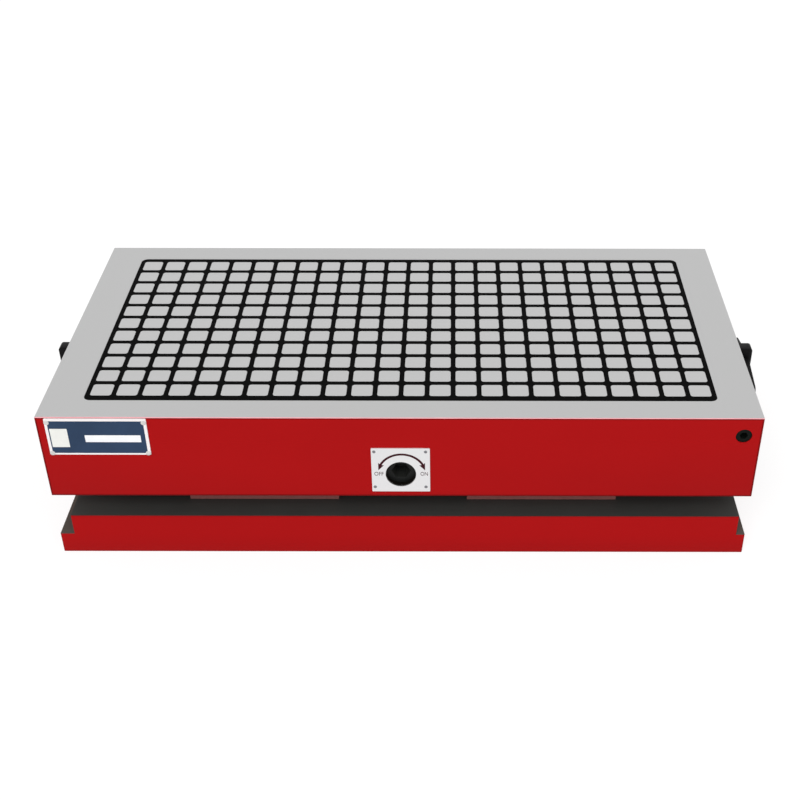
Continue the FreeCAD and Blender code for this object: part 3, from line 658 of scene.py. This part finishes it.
class PlateMaker(Maker):
    """A flat plate facing the front, with rounded corners and, if bored, one round hole."""

    inputs = {"Width": SocketKind.NUMBER, "Height": SocketKind.NUMBER, "Corner": SocketKind.NUMBER,
              "Thickness": SocketKind.NUMBER, "Bored": SocketKind.SWITCH, "Bore": SocketKind.NUMBER,
              "Bore Rise": SocketKind.NUMBER, "Back": SocketKind.VECTOR}

    def build(self, graph: NodeGraph, given: Any) -> Any:
        """Fills the outline less its bore and gives it a thickness towards the front."""
        square = graph.add("GeometryNodeCurvePrimitiveQuadrilateral", {"Width": given["Width"],
                                                                       "Height": given["Height"]})
        rim = graph.add("GeometryNodeFilletCurve", {"Curve": square.outputs[0], "Count": 6,
                                                    "Radius": given["Corner"]}, mode="POLY")
        circle = graph.add("GeometryNodeCurvePrimitiveCircle", {"Resolution": 96, "Radius": given["Bore"]})
        rise = graph.add("ShaderNodeCombineXYZ", {1: given["Bore Rise"]})
        hole = graph.add("GeometryNodeTransform", {"Geometry": circle.outputs[0], "Translation": rise.outputs[0]})
        both = graph.add("GeometryNodeJoinGeometry")
        for part in (rim, hole):
            graph.tree.links.new(part.outputs[0], both.inputs[0])
        outline = graph.add("GeometryNodeSwitch", {"Switch": given["Bored"], "False": rim.outputs[0],
                                                   "True": both.outputs[0]}, input_type="GEOMETRY")
        face = graph.add("GeometryNodeFillCurve", {"Curve": outline.outputs[0]}, mode="NGONS").outputs[0]
        thick = graph.add("GeometryNodeExtrudeMesh", {"Mesh": face, "Individual": False,
                                                      "Offset Scale": given["Thickness"]})
        under = graph.add("GeometryNodeFlipFaces", {"Mesh": face})
        closed = graph.add("GeometryNodeJoinGeometry")
        for part in (thick, under):
            graph.tree.links.new(part.outputs[0], closed.inputs[0])
        whole = graph.add("GeometryNodeMergeByDistance", {"Geometry": closed.outputs[0], "Distance": WELD})
        return graph.add("GeometryNodeTransform", {"Geometry": whole.outputs[0], "Translation": given["Back"],
                                                   "Rotation": (math.pi / 2, 0.0, 0.0)}).outputs[0]


class StudMaker(Maker):
    """Domed heads at the four corners of a plate, slotted if they are screws."""

    inputs = {"Span X": SocketKind.NUMBER, "Span Z": SocketKind.NUMBER, "Radius": SocketKind.NUMBER,
              "Rise": SocketKind.NUMBER, "Slotted": SocketKind.SWITCH, "Middle": SocketKind.VECTOR}

    def dome(self, graph: NodeGraph, given: Any) -> Any:
        """A low dome built up in steps from a short drum."""
        drum = graph.add("GeometryNodeMeshCylinder", {"Vertices": 24, "Radius": given["Radius"],
                                                      "Depth": graph.math("MULTIPLY", given["Rise"], 0.5)})
        shape, top = drum.outputs["Mesh"], drum.outputs["Top"]
        for lift, width in ((0.32, 0.86), (0.26, 0.72), (0.17, 0.5)):
            step = graph.add("GeometryNodeExtrudeMesh", {"Mesh": shape, "Selection": top,
                                                         "Offset Scale": graph.math("MULTIPLY", given["Rise"], lift)})
            scaled = graph.add("GeometryNodeScaleElements", {"Geometry": step.outputs["Mesh"],
                                                             "Selection": step.outputs["Top"], "Scale": width})
            shape, top = scaled.outputs[0], step.outputs["Top"]
        return shape

    def build(self, graph: NodeGraph, given: Any) -> Any:
        """The dome with or without its slot, one at each corner, each turned at random."""
        dome = self.dome(graph, given)
        blade = graph.add("ShaderNodeCombineXYZ", {0: graph.math("MULTIPLY", given["Radius"], 3.0),
                                                   1: graph.math("MULTIPLY", given["Radius"], 0.34),
                                                   2: given["Rise"]})
        cutter = graph.add("GeometryNodeMeshCube", {"Size": blade.outputs[0]})
        raised = graph.add("ShaderNodeCombineXYZ", {2: graph.math("MULTIPLY", given["Rise"], 0.95)})
        lifted = graph.add("GeometryNodeTransform", {"Geometry": cutter.outputs[0], "Translation": raised.outputs[0]})
        slot = graph.add("GeometryNodeMeshBoolean", {"Mesh 1": dome, "Mesh 2": lifted.outputs[0]},
                         operation="DIFFERENCE")
        head = graph.add("GeometryNodeSwitch", {"Switch": given["Slotted"], "False": dome,
                                                "True": slot.outputs[0]}, input_type="GEOMETRY")
        corners = graph.add("GeometryNodeMeshGrid", {"Size X": given["Span X"], "Size Y": given["Span Z"],
                                                     "Vertices X": 2, "Vertices Y": 2})
        turn = graph.add("FunctionNodeRandomValue", {"Seed": 3}, data_type="FLOAT")
        turn.inputs[3].default_value = math.pi
        spin = graph.add("ShaderNodeCombineXYZ", {2: turn.outputs[1]})
        heads = graph.add("GeometryNodeInstanceOnPoints", {"Points": corners.outputs[0],
                                                           "Instance": head.outputs[0],
                                                           "Rotation": spin.outputs[0]})
        return graph.add("GeometryNodeTransform", {"Geometry": heads.outputs[0], "Translation": given["Middle"],
                                                   "Rotation": (math.pi / 2, 0.0, 0.0)}).outputs[0]


# ---------------------------------------------------------------- sub-assemblies
class SubAssembly:
    """Pieces that belong together; each is reported as it is placed."""

    body = "chuck"

    def build(self) -> None:
        """Makes and dresses the sub-assembly's pieces."""
        raise NotImplementedError

    def dress(self, node: str, finish: Finish) -> None:
        """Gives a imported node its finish."""
        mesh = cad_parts[node].data
        mesh.materials.clear()
        mesh.materials.append(finish.material())
        LOG.info("%s: %s", node, finish.name)

    def place(self, piece: bpy.types.Object, slot: str, stands_for: Sequence[str] = (),
              body: str | None = None) -> bpy.types.Object:
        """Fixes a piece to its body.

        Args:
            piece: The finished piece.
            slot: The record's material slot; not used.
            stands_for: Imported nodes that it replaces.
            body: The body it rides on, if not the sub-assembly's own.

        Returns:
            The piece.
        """
        if stands_for:
            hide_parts(*stands_for)
        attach(piece, body or self.body)
        LOG.info("%s: %d faces on %s", piece.name, len(piece.data.polygons), body or self.body)
        return piece

    def coat(self, mesh: bpy.types.Mesh, finishes: Sequence[Finish],
             choose: Callable[[Vector, Vector], int] = lambda normal, middle: 0) -> bpy.types.Mesh:
        """Gives each face of a mesh one of several finishes, by its normal and middle."""
        mesh.materials.clear()
        for finish in finishes:
            mesh.materials.append(finish.material())
        for face in mesh.polygons:
            face.material_index = choose(face.normal, face.center)
        return mesh


@dataclass
class PaintedBody(SubAssembly):
    """Base, waist, housing and top plate.

    Attributes:
        rounding: Rounding of the painted edges.
        paint: Settings of the red paint.
    """

    rounding: float = 0.7 * MM
    paint: dict[str, Any] = field(default_factory=lambda: {
        "colour": RED, "roughness": 0.55, "specular": 0.07, "marks": (260.0, 260.0, 260.0),
        "patch": 0.07, "tone": 0.06, "rough": 0.05, "relief": 0.006 * MM})

    def painted(self, name: str, *nodes: str, **settings: float) -> BlockPaint:
        """The red paint, its edge line set on the box that holds the nodes."""
        boxes = [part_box(node) for node in nodes]
        low = tuple(min(box[0][axis] for box in boxes) for axis in range(3))
        high = tuple(max(box[1][axis] for box in boxes) for axis in range(3))
        return BlockPaint(name, low=low, high=high, **self.paint, **settings)

    def outer(self, node: str, floor: bool = True, roof: bool = True) -> Callable[[Vector, Vector], bool]:
        """Chooses the edges on the outside of a node's box, less its top or bottom ones."""
        low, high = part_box(node)
        near = 0.05 * MM

        def chosen(start: Vector, end: Vector) -> bool:
            """Whether both ends of an edge lie on two faces of the box."""
            on = [sum(abs(point[axis] - side[axis]) < near for point in (start, end)) == 2
                  for side in (low, high) for axis in range(3)]
            if (on[2] and not floor) or (on[5] and not roof):
                return False
            return sum(on) >= 2

        return chosen

    def build(self) -> None:
        """Makes the four blocks."""
        block = self.painted("red_paint_block", "housing", "top_plate")
        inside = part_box("guide_rails")

        def in_cavity(middle: Vector) -> bool:
            """Whether a point lies in the housing's cavity."""
            return all(inside[0][axis] - 2 * MM < middle[axis] < inside[1][axis] + 2 * MM for axis in (0, 1))

        shell = SoftEdged("housing", self.rounding, chosen=self.outer("housing", roof=False)).mesh()
        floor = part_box("guide_rails")[0].z - MM
        self.coat(shell, (block, BARE_STEEL),
                  lambda normal, middle: int(in_cavity(middle) and middle.z > floor))
        self.place(show("painted_housing", shell), "red_paint", ("housing",))

        plate = SoftEdged("top_plate", self.rounding, chosen=self.upright("top_plate")).mesh()
        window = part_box("gap_filler")
        foot, face = (corner.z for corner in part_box("top_plate"))
        edge = 0.1 * MM

        def top_face(normal: Vector, middle: Vector) -> int:
            """Ground steel on the faces and in the window, a pale painted highlight on the long chamfers, and paint
            elsewhere.
            """
            if all(window[0][axis] - edge < middle[axis] < window[1][axis] + edge for axis in (0, 1)):
                return 1
            if foot + edge < middle.z < face - MM or abs(normal.z) < 0.3:
                return 0
            # The long chamfers take the pale painted highlight colour.
            return 2 if abs(normal.y) > 0.3 else 1

        self.coat(plate, (block, GROUND, CHAMFER_HIGHLIGHT), top_face)
        self.place(show("ground_top_plate", plate, 20.0), "ground_steel", ("top_plate",))

        base = SoftEdged("base_plate", self.rounding, chosen=self.outer("base_plate", roof=False)).mesh()
        step = (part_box("base_plate")[1].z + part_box("base_plate")[0].z) * 0.75
        # Top faces: grey oxide on the end ledges, and on the groove floor its darker copy painted as shade.
        self.coat(base, (self.painted("red_paint_base", "base_plate", line=1.3 * MM, dark=0.5), GREY_OXIDE, PLATFORM_OXIDE_SHADED),
                  lambda normal, middle: (1 + int(middle.z > step)) * int(normal.z > 0.9))
        self.place(show("painted_base", base), "red_paint", ("base_plate",))
        # The waist's red tint is a painted reflection of the red paint round the groove.
        self.dress("waist_block", WAIST_STEEL_RED_BOUNCE)

    def upright(self, node: str) -> Callable[[Vector, Vector], bool]:
        """Chooses the upright edges at a node's four outer corners."""
        low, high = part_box(node)

        def chosen(start: Vector, end: Vector) -> bool:
            """Whether an edge stands upright at a corner of the box."""
            at_corner = all(min(abs(point[axis] - low[axis]), abs(point[axis] - high[axis])) < 0.05 * MM
                            for point in (start, end) for axis in (0, 1))
            return at_corner and (start - end).to_2d().length < 0.05 * MM

        return chosen


@dataclass
class PolePack(SubAssembly):
    """Pole bars with their heads, the resin between them, and what lies under them.

    Attributes:
        columns: Bars side by side.
        rows: Heads on each bar.
        corner: Rounding of a head's corners.
        bevel: Bevel round a head's top.
        sunk: How far the resin lies below the heads.
        tint: Greatest share by which a head differs in tone.
        trim: How much narrower and shorter the heads are than their packed ones.
        setback: How far the heads stand behind their packed ones.
    """

    columns: int = 24
    rows: int = 11
    corner: float = 2.2 * MM
    bevel: float = 0.25 * MM
    sunk: float = 0.2 * MM
    tint: float = 0.025
    trim: tuple[float, float] = (0.1 * MM, 1.2 * MM)
    setback: float = 0.8 * MM

    def bars(self, node: str) -> None:
        """Makes the bars of one polarity from the box of their node."""
        low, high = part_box(node)
        gap_low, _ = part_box("gap_filler")
        magnets_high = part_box("fixed_magnets")[1]
        depth = high.y - low.y
        gap = self.gap()
        step = (depth + gap) / self.rows
        head = step - gap
        seat = magnets_high.z
        mesh = BarMaker().make(POLES, bars=self.columns // 2, heads=self.rows, bar_step=2 * step, head_step=step,
                               head=head - self.trim[0], head_length=head - self.trim[1], corner=self.corner,
                               head_height=high.z - seat, bevel=self.bevel,
                               bar=(head, depth - self.trim[1], seat - low.z), tint=self.tint,
                               middle=((low.x + high.x) / 2, (low.y + high.y) / 2 + self.setback, seat))
        self.place(show(node.replace("bars", "heads"), mesh, 20.0), "pole_steel", (node,))

    def gap(self) -> float:
        """Width of the lines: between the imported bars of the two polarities."""
        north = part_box("pole_bars_north")
        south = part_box("pole_bars_south")
        step = south[0].x - north[0].x
        span = north[1].x - north[0].x
        return step - (span - (self.columns - 2) * step)

    def resin(self) -> None:
        """One slab of resin, its rounded outline that of the window, round all the heads."""
        low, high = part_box("gap_filler")
        work = welded("gap_filler")
        rim = sorted({(round(v.co.x, 7), round(v.co.y, 7)) for v in work.verts
                      if self.on_outline(v.co, low, high)},
                     key=lambda spot: math.atan2(spot[1] / (high.y - low.y), spot[0] / (high.x - low.x)))
        work.free()
        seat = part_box("fixed_magnets")[1].z
        slab = bmesh.new()
        top = [slab.verts.new((x, y, high.z - self.sunk)) for x, y in rim]
        foot = [slab.verts.new((x, y, seat)) for x, y in rim]
        slab.faces.new(top)
        slab.faces.new(foot[::-1])
        for place in range(len(rim)):
            after = (place + 1) % len(rim)
            slab.faces.new((top[after], top[place], foot[place], foot[after]))
        bmesh.ops.recalc_face_normals(slab, faces=slab.faces)
        mesh = bpy.data.meshes.new("resin")
        slab.to_mesh(mesh)
        slab.free()
        self.coat(mesh, (RESIN,))
        self.place(show("cast_resin", mesh), "black_resin", ("gap_filler",))

    def on_outline(self, spot: Vector, low: Vector, high: Vector) -> bool:
        """Whether a corner of the filler lies on the window's outline, not on the pack's."""
        pack_low, pack_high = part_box("fixed_magnets")
        bars_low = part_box("pole_bars_north")[0]
        bars_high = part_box("pole_bars_south")[1]
        inside_x = bars_low.x - MM < spot.x < bars_high.x + MM
        inside_y = pack_low.y - MM < spot.y < pack_high.y + MM
        return not (inside_x and inside_y)

    def build(self) -> None:
        """Makes the pack and dresses its inner pieces."""
        for node in ("pole_bars_north", "pole_bars_south"):
            self.bars(node)
        self.resin()
        self.dress("fixed_magnets", MAGNET)
        self.dress("wear_plate", STAINLESS)


@dataclass
class KeyDrive(SubAssembly):
    """Key shaft, its bushes and the rack.

    Attributes:
        socket_reach: Greatest distance of the key socket's walls from the axis.
        socket_depth: Depth behind the head's face that holds the whole socket.
        face_depth: Depth behind which a face is no part of the head's own.
    """

    socket_reach: float = 8.5 * MM
    socket_depth: float = 17.0 * MM
    face_depth: float = 0.5 * MM

    def build(self) -> None:
        """Softens the shaft's edges and dresses the rest."""
        shaft = SoftEdged("drive_shaft", 0.25 * MM, rounds=1, chosen=self.on_head).mesh()
        self.coat(shaft, (BLACK_OXIDE, SOCKET_STEEL), self.in_socket)
        self.place(show("key_shaft", shaft), "shaft_steel", ("drive_shaft",), "drive_shaft")
        # The bushes' near-black colour is painted shade in the key hole.
        self.dress("shaft_bushes", BRONZE_PAINTED_SHADE)
        self.dress("rack", TURNED_STEEL)

    def in_socket(self, normal: Vector, middle: Vector) -> int:
        """One for a face of the key's socket, else zero."""
        low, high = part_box("drive_shaft")
        reach = math.hypot(middle.x, middle.z - (low.z + high.z) / 2)
        return int(reach < self.socket_reach and low.y + self.face_depth < middle.y < low.y + self.socket_depth)

    def on_head(self, start: Vector, end: Vector) -> bool:
        """Whether an edge lies on the face of the shaft's head."""
        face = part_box("drive_shaft")[0].y
        return abs(start.y - face) < 0.01 * MM and abs(end.y - face) < 0.01 * MM


class Carrier(SubAssembly):
    """Sliding carrier with its magnets, and the rails and stops it runs between."""

    def build(self) -> None:
        """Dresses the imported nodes."""
        for node, finish in (("yoke_plate", MILLED_STEEL), ("magnet_frame", ALUMINIUM),
                             ("carrier_magnets_north", MAGNET), ("carrier_magnets_south", MAGNET),
                             ("guide_rails", BRONZE), ("travel_stops", MILLED_STEEL)):
            self.dress(node, finish)


class Fasteners(SubAssembly):
    """Inner screws and bolts, and the seal."""

    def build(self) -> None:
        """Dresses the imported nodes."""
        self.dress("top_plate_screws", BLACK_OXIDE)
        self.dress("base_bolts", BLACK_OXIDE)
        self.dress("top_seal", RUBBER)


@dataclass
class ControlPlate(SubAssembly):
    """Switch plate with its screws, arrow and lettering.

    Attributes:
        proud: How far heads and print may stand before the plate.
        ink: Thickness of the print.
        bore: Radius of the hole over the shaft's head.
        screw_span: Distance between the screws across and up.
        screw_shift: Shift of the screws from the plate's middle, across and up.
        screw_radius: Radius of the screws' heads.
        arrow: Radius, width, head length and head width of the arrow.
        tips: Angles of the arrow's tips from +X, seen from the front.
        arrow_shift: Shift of the arrow's centre from the shaft's axis, across and up.
    """

    proud: float = 0.35 * MM
    ink: float = 0.06 * MM
    bore: float = 12.9 * MM
    screw_span: tuple[float, float] = (43.2 * MM, 37.0 * MM)
    screw_shift: tuple[float, float] = (-0.5 * MM, 0.6 * MM)
    screw_radius: float = 1.45 * MM
    arrow: tuple[float, float, float, float] = (20.0 * MM, 2.0 * MM, 6.2 * MM, 5.6 * MM)
    tips: tuple[float, float] = (10.0, 170.0)
    arrow_shift: tuple[float, float] = (0.8 * MM, 0.8 * MM)

    def build(self) -> None:
        """Makes the plate and what is on it."""
        low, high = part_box("control_plate")
        self.front = low.y + self.proud
        self.back = high.y
        middle = ((low.x + high.x) / 2, self.back, (low.z + high.z) / 2)
        shaft = self.shaft_height()
        plate = PlateMaker().make(SILVER, width=high.x - low.x, height=high.z - low.z, corner=0.8 * MM,
                                  thickness=self.back - self.front, bored=True, bore=self.bore,
                                  bore_rise=shaft - middle[2], back=middle)
        self.place(show("switch_plate", plate), "silver_plate", ("control_plate",))
        heads = StudMaker().make(SMALL_SCREW, span_x=self.screw_span[0], span_z=self.screw_span[1],
                                 radius=self.screw_radius, rise=self.proud * 0.8, slotted=True,
                                 middle=(middle[0] + self.screw_shift[0], self.front,
                                         middle[2] + self.screw_shift[1]))
        self.place(show("switch_plate_screws", heads), "silver_plate")
        arrow = flat_outline(self.arrow_outline(shaft), self.front - self.ink, self.front + self.ink)
        self.coat(arrow, (MAROON_INK,))
        self.place(show("turn_arrow", arrow), "silver_plate")
        for text, centre, wide in (("OFF", -18.5 * MM, 7.8 * MM), ("ON", 19.7 * MM, 6.2 * MM)):
            letters = self.lettering(text, centre, shaft + 0.5 * MM, wide, 3.9 * MM)
            self.coat(letters, (MAROON_INK,))
            self.place(show("label_" + text.lower(), letters), "silver_plate")

    def shaft_height(self) -> float:
        """Height of the shaft's axis."""
        low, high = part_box("drive_shaft")
        return (low.z + high.z) / 2

    def arrow_outline(self, height: float) -> list[tuple[float, float]]:
        """Corners of the double-headed arrow round the shaft's axis."""
        radius, width, length, spread = self.arrow
        back = math.degrees(length / radius)
        start, end = self.tips[0] + back, self.tips[1] - back
        steps = 40
        angles = [start + (end - start) * step / steps for step in range(steps + 1)]

        def spot(distance: float, angle: float) -> tuple[float, float]:
            """A point at a distance and angle from the axis."""
            turn = math.radians(angle)
            return (self.arrow_shift[0] + distance * math.cos(turn),
                    self.arrow_shift[1] + height + distance * math.sin(turn))

        outer = [spot(radius + width / 2, angle) for angle in angles]
        inner = [spot(radius - width / 2, angle) for angle in reversed(angles)]
        notch = math.degrees(0.14 * length / radius)
        last = [spot(radius + spread / 2, end - notch), spot(radius, self.tips[1]),
                spot(radius - spread / 2, end - notch)]
        first = [spot(radius - spread / 2, start + notch), spot(radius, self.tips[0]),
                 spot(radius + spread / 2, start + notch)]
        return outer + last + inner + first

    def lettering(self, text: str, centre: float, height: float, wide: float, tall: float) -> bpy.types.Mesh:
        """Printed letters in a given box.

        Args:
            text: The letters.
            centre: X of their middle.
            height: Z of their middle.
            wide: Their width.
            tall: Their height.

        Returns:
            The mesh, its place applied.
        """
        curve = bpy.data.curves.new(text, "FONT")
        curve.body = text
        curve.extrude = 0.5
        helper = bpy.data.objects.new(text, curve)
        bpy.context.scene.collection.objects.link(helper)
        mesh = settled(helper)
        spots = [vertex.co.copy() for vertex in mesh.vertices]
        lows = [min(spot[axis] for spot in spots) for axis in range(3)]
        highs = [max(spot[axis] for spot in spots) for axis in range(3)]
        for vertex, spot in zip(mesh.vertices, spots):
            across, up, out = ((spot[axis] - lows[axis]) / (highs[axis] - lows[axis]) for axis in range(3))
            vertex.co = (centre + (across - 0.5) * wide, self.front + self.ink * (1 - 2 * out),
                         height + (up - 0.5) * tall)
        return mesh


@dataclass
class NamePlate(SubAssembly):
    """Name plate: bare silver border, blue field, and two blank white places.

    Attributes:
        trim: How far the plate stays inside its box at the left, right, bottom and top.
        border: Width of the bare border at the left, right, bottom and top.
        film: Thickness of each printed layer.
        rivets: X and Z of the upper left rivet, and the distance to the lower right one.
        rivet_radius: Radius of the rivets' heads.
        rivet_rise: Height of the rivets' heads.
    """

    trim: tuple[float, float, float, float] = (0.7 * MM, 0.2 * MM, 0.9 * MM, 0.0)
    border: tuple[float, float, float, float] = (2.3 * MM, 2.5 * MM, 1.7 * MM, 2.3 * MM)
    film: float = 0.05 * MM
    rivets: tuple[float, float, float, float] = (2.6 * MM, 3.9 * MM, 80.0 * MM, 30.8 * MM)
    rivet_radius: float = 2.2 * MM
    rivet_rise: float = 0.45 * MM

    def build(self) -> None:
        """Makes the plate, its fields and its rivets."""
        low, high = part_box("nameplate")
        left, right, bottom, top = self.trim
        self.rectangle("name_plate", NAME_TRIM, (low.x + left, high.x - right, low.z + bottom, high.z - top),
                       high.y, high.y - low.y, 0.8 * MM, ("nameplate",))
        west, east, south, north = (low.x + left + self.border[0], high.x - right - self.border[1],
                                    low.z + bottom + self.border[2], high.z - top - self.border[3])
        self.rectangle("blue_field", BLUE_PRINT, (west, east, south, north), low.y, self.film)
        self.rectangle("blank_box", PAPER_PRINT, (low.x + 4.0 * MM, low.x + 18.4 * MM, high.z - 28.5 * MM,
                                                  high.z - 9.9 * MM), low.y, 2 * self.film)
        self.rectangle("blank_bar", WHITE_PRINT, (low.x + 32.2 * MM, low.x + 78.4 * MM, high.z - 23.3 * MM,
                                                  high.z - 16.3 * MM), low.y, 2 * self.film)
        across, down, span_x, span_z = self.rivets
        heads = StudMaker().make(RIVET, span_x=span_x, span_z=span_z, radius=self.rivet_radius,
                                 rise=self.rivet_rise, slotted=False,
                                 middle=(low.x + across + span_x / 2, low.y, high.z - down - span_z / 2))
        self.place(show("name_plate_rivets", heads), "nameplate_print")

    def rectangle(self, name: str, finish: Finish, sides: tuple[float, float, float, float], back: float,
                  thickness: float, corner: float = 0.4 * MM, stands_for: Sequence[str] = ()) -> None:
        """Adds one flat rectangle.

        Args:
            name: Name of the piece.
            finish: Its finish.
            sides: Its left, right, bottom and top.
            back: Y of its back.
            thickness: How far it stands before its back.
            corner: Rounding of its corners.
            stands_for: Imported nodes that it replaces.
        """
        left, right, bottom, top = sides
        mesh = PlateMaker().make(finish, width=right - left, height=top - bottom, corner=corner,
                                 thickness=thickness, bored=False, bore=MM, bore_rise=0.0,
                                 back=((left + right) / 2, back, (bottom + top) / 2))
        self.place(show(name, mesh), "nameplate_print", stands_for)


class OilPlug(SubAssembly):
    """Plug in the front of the top plate."""

    def build(self) -> None:
        """Softens the plug's rims."""
        plug = SoftEdged("oil_plug", 0.35 * MM).mesh()
        self.coat(plug, (PLUG_BLACK,))
        self.place(show("threaded_plug", plug), "plug_steel", ("oil_plug",))


@dataclass
class LiftingRings(SubAssembly):
    """Eyes in the end walls and the rings that hang in them.

    Attributes:
        eye_rounding: Rounding of the eyes' edges.
        ring_rounding: Rounding of the rings' edges.
    """

    eye_rounding: float = 0.7 * MM
    ring_rounding: float = 2.2 * MM

    def build(self) -> None:
        """Rounds the edges of the eyes and of both rings."""
        eyes = SoftEdged("eye_bolts", self.eye_rounding).mesh()
        self.coat(eyes, (BLACK_SATIN,))
        self.place(show("lifting_eyes", eyes), "black_steel", ("eye_bolts",))
        for side in ("right", "left"):
            node = "lifting_ring_" + side
            ring = SoftEdged(node, self.ring_rounding, rounds=3).mesh()
            self.coat(ring, (BLACK_SATIN,))
            self.place(show("hung_ring_" + side, ring), "black_steel", (node,), "ring_" + side)


# ---------------------------------------------------------------- studio
@dataclass
class Studio:
    """Camera, white floor and room, and soft lamps.

    Attributes:
        eye: Place of the camera.
        dip: Degrees that the camera looks below the horizon.
        roll: Degrees that it leans.
        lens: Focal length in millimetres on the sensor below.
        sensor: Width of the sensor in millimetres.
        shift: Shift across and up, in widths.
        room: Strength of the white room on everything but what sees it directly.
        lamps: Name, direction it shines from, strength and spread in degrees.
    """

    eye: Triple = (42.9 * MM, -994.2 * MM, 738.8 * MM)
    dip: float = 34.92
    roll: float = 0.10
    lens: float = 56.64
    sensor: float = 36.0
    shift: tuple[float, float] = (-0.0647, 0.017)
    room: float = 0.70
    floor_size: float = 12.0
    floor_tone: float = 0.25
    floor_glow: float = 0.78
    lamps: tuple[tuple[str, Triple, float, float], ...] = (
        ("key", (-0.35, -1.0, 0.95), 1.75, 35.0), ("fill", (0.8, -0.9, 0.5), 0.6, 50.0))

    def build(self) -> None:
        """Sets up the view, the floor, the room and the lamps."""
        self.camera()
        self.floor()
        self.surround()
        for name, source, strength, spread in self.lamps:
            lamp = bpy.data.lights.new(name + "_lamp", "SUN")
            lamp.energy = strength
            lamp.angle = math.radians(spread)
            holder = bpy.data.objects.new(name + "_lamp", lamp)
            holder.rotation_mode = "QUATERNION"
            holder.rotation_quaternion = Vector(source).to_track_quat("Z", "Y")
            holder.visible_glossy = False
            bpy.context.scene.collection.objects.link(holder)
        bpy.context.scene.view_settings.view_transform = "Standard"
        LOG.info("studio: camera, floor, room and %d lamps", len(self.lamps))

    def camera(self) -> None:
        """Places the camera and makes it the scene's own."""
        lens = bpy.data.cameras.new("camera")
        lens.lens, lens.sensor_width = self.lens, self.sensor
        lens.shift_x, lens.shift_y = self.shift
        lens.clip_start, lens.clip_end = 0.01, 100.0
        holder = bpy.data.objects.new("camera", lens)
        turn = Matrix.Rotation(math.radians(90.0 - self.dip), 4, "X") @ Matrix.Rotation(
            math.radians(self.roll), 4, "Z")
        holder.matrix_world = Matrix.Translation(self.eye) @ turn
        bpy.context.scene.collection.objects.link(holder)
        bpy.context.scene.camera = holder

    def seen(self, graph: NodeGraph) -> Any:
        """One where a camera, glossy or transmission ray meets the surface, else zero."""
        path = graph.add("ShaderNodeLightPath").outputs
        direct = graph.math("MAXIMUM", path["Is Camera Ray"], path["Is Glossy Ray"])
        return graph.math("MAXIMUM", direct, path["Is Transmission Ray"])

    def floor(self) -> None:
        """Lays the pale floor, which glows a little only where it is seen."""
        work = bmesh.new()
        half = self.floor_size / 2
        corners = ((-half, -half), (half, -half), (half, half), (-half, half))
        work.faces.new([work.verts.new((x, y, -0.1 * MM)) for x, y in corners])
        mesh = bpy.data.meshes.new("floor")
        work.to_mesh(mesh)
        work.free()
        paper = bpy.data.materials.new("pale_floor")
        paper.use_nodes = True
        graph = NodeGraph(paper.node_tree)
        glow = graph.math("MULTIPLY", self.seen(graph), self.floor_glow)
        shader = graph.add("ShaderNodeBsdfPrincipled", {
            "Base Color": (self.floor_tone, self.floor_tone, self.floor_tone, 1.0), "Roughness": 0.9,
            "Specular IOR Level": 0.0, "Emission Color": (1.0, 1.0, 1.0, 1.0), "Emission Strength": glow})
        graph.add("ShaderNodeOutputMaterial", {"Surface": shader.outputs[0]})
        mesh.materials.append(paper)
        sheet = bpy.data.objects.new("floor", mesh)
        bpy.context.scene.collection.objects.link(sheet)

    def surround(self) -> None:
        """Fills the world with white: full where it is seen, softer as light."""
        world = bpy.data.worlds.new("room")
        world.use_nodes = True
        graph = NodeGraph(world.node_tree)
        extra = graph.math("MULTIPLY", self.seen(graph), 1.0 - self.room)
        sky = graph.add("ShaderNodeBackground", {"Color": (1.0, 1.0, 1.0, 1.0),
                                                 "Strength": graph.math("ADD", self.room, extra)})
        graph.add("ShaderNodeOutputWorld", {"Surface": sky.outputs[0]})
        bpy.context.scene.world = world


def main() -> None:
    """Builds every sub-assembly, then the studio."""
    logging.basicConfig(level=logging.INFO, format="%(name)s: %(message)s")
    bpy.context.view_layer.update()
    for part in (PaintedBody(), PolePack(), KeyDrive(), Carrier(), Fasteners(), ControlPlate(),
                 NamePlate(), OilPlug(), LiftingRings()):
        part.build()
        LOG.info("%s built", type(part).__name__)
    Studio().build()


if __name__ == "__main__":
    main()
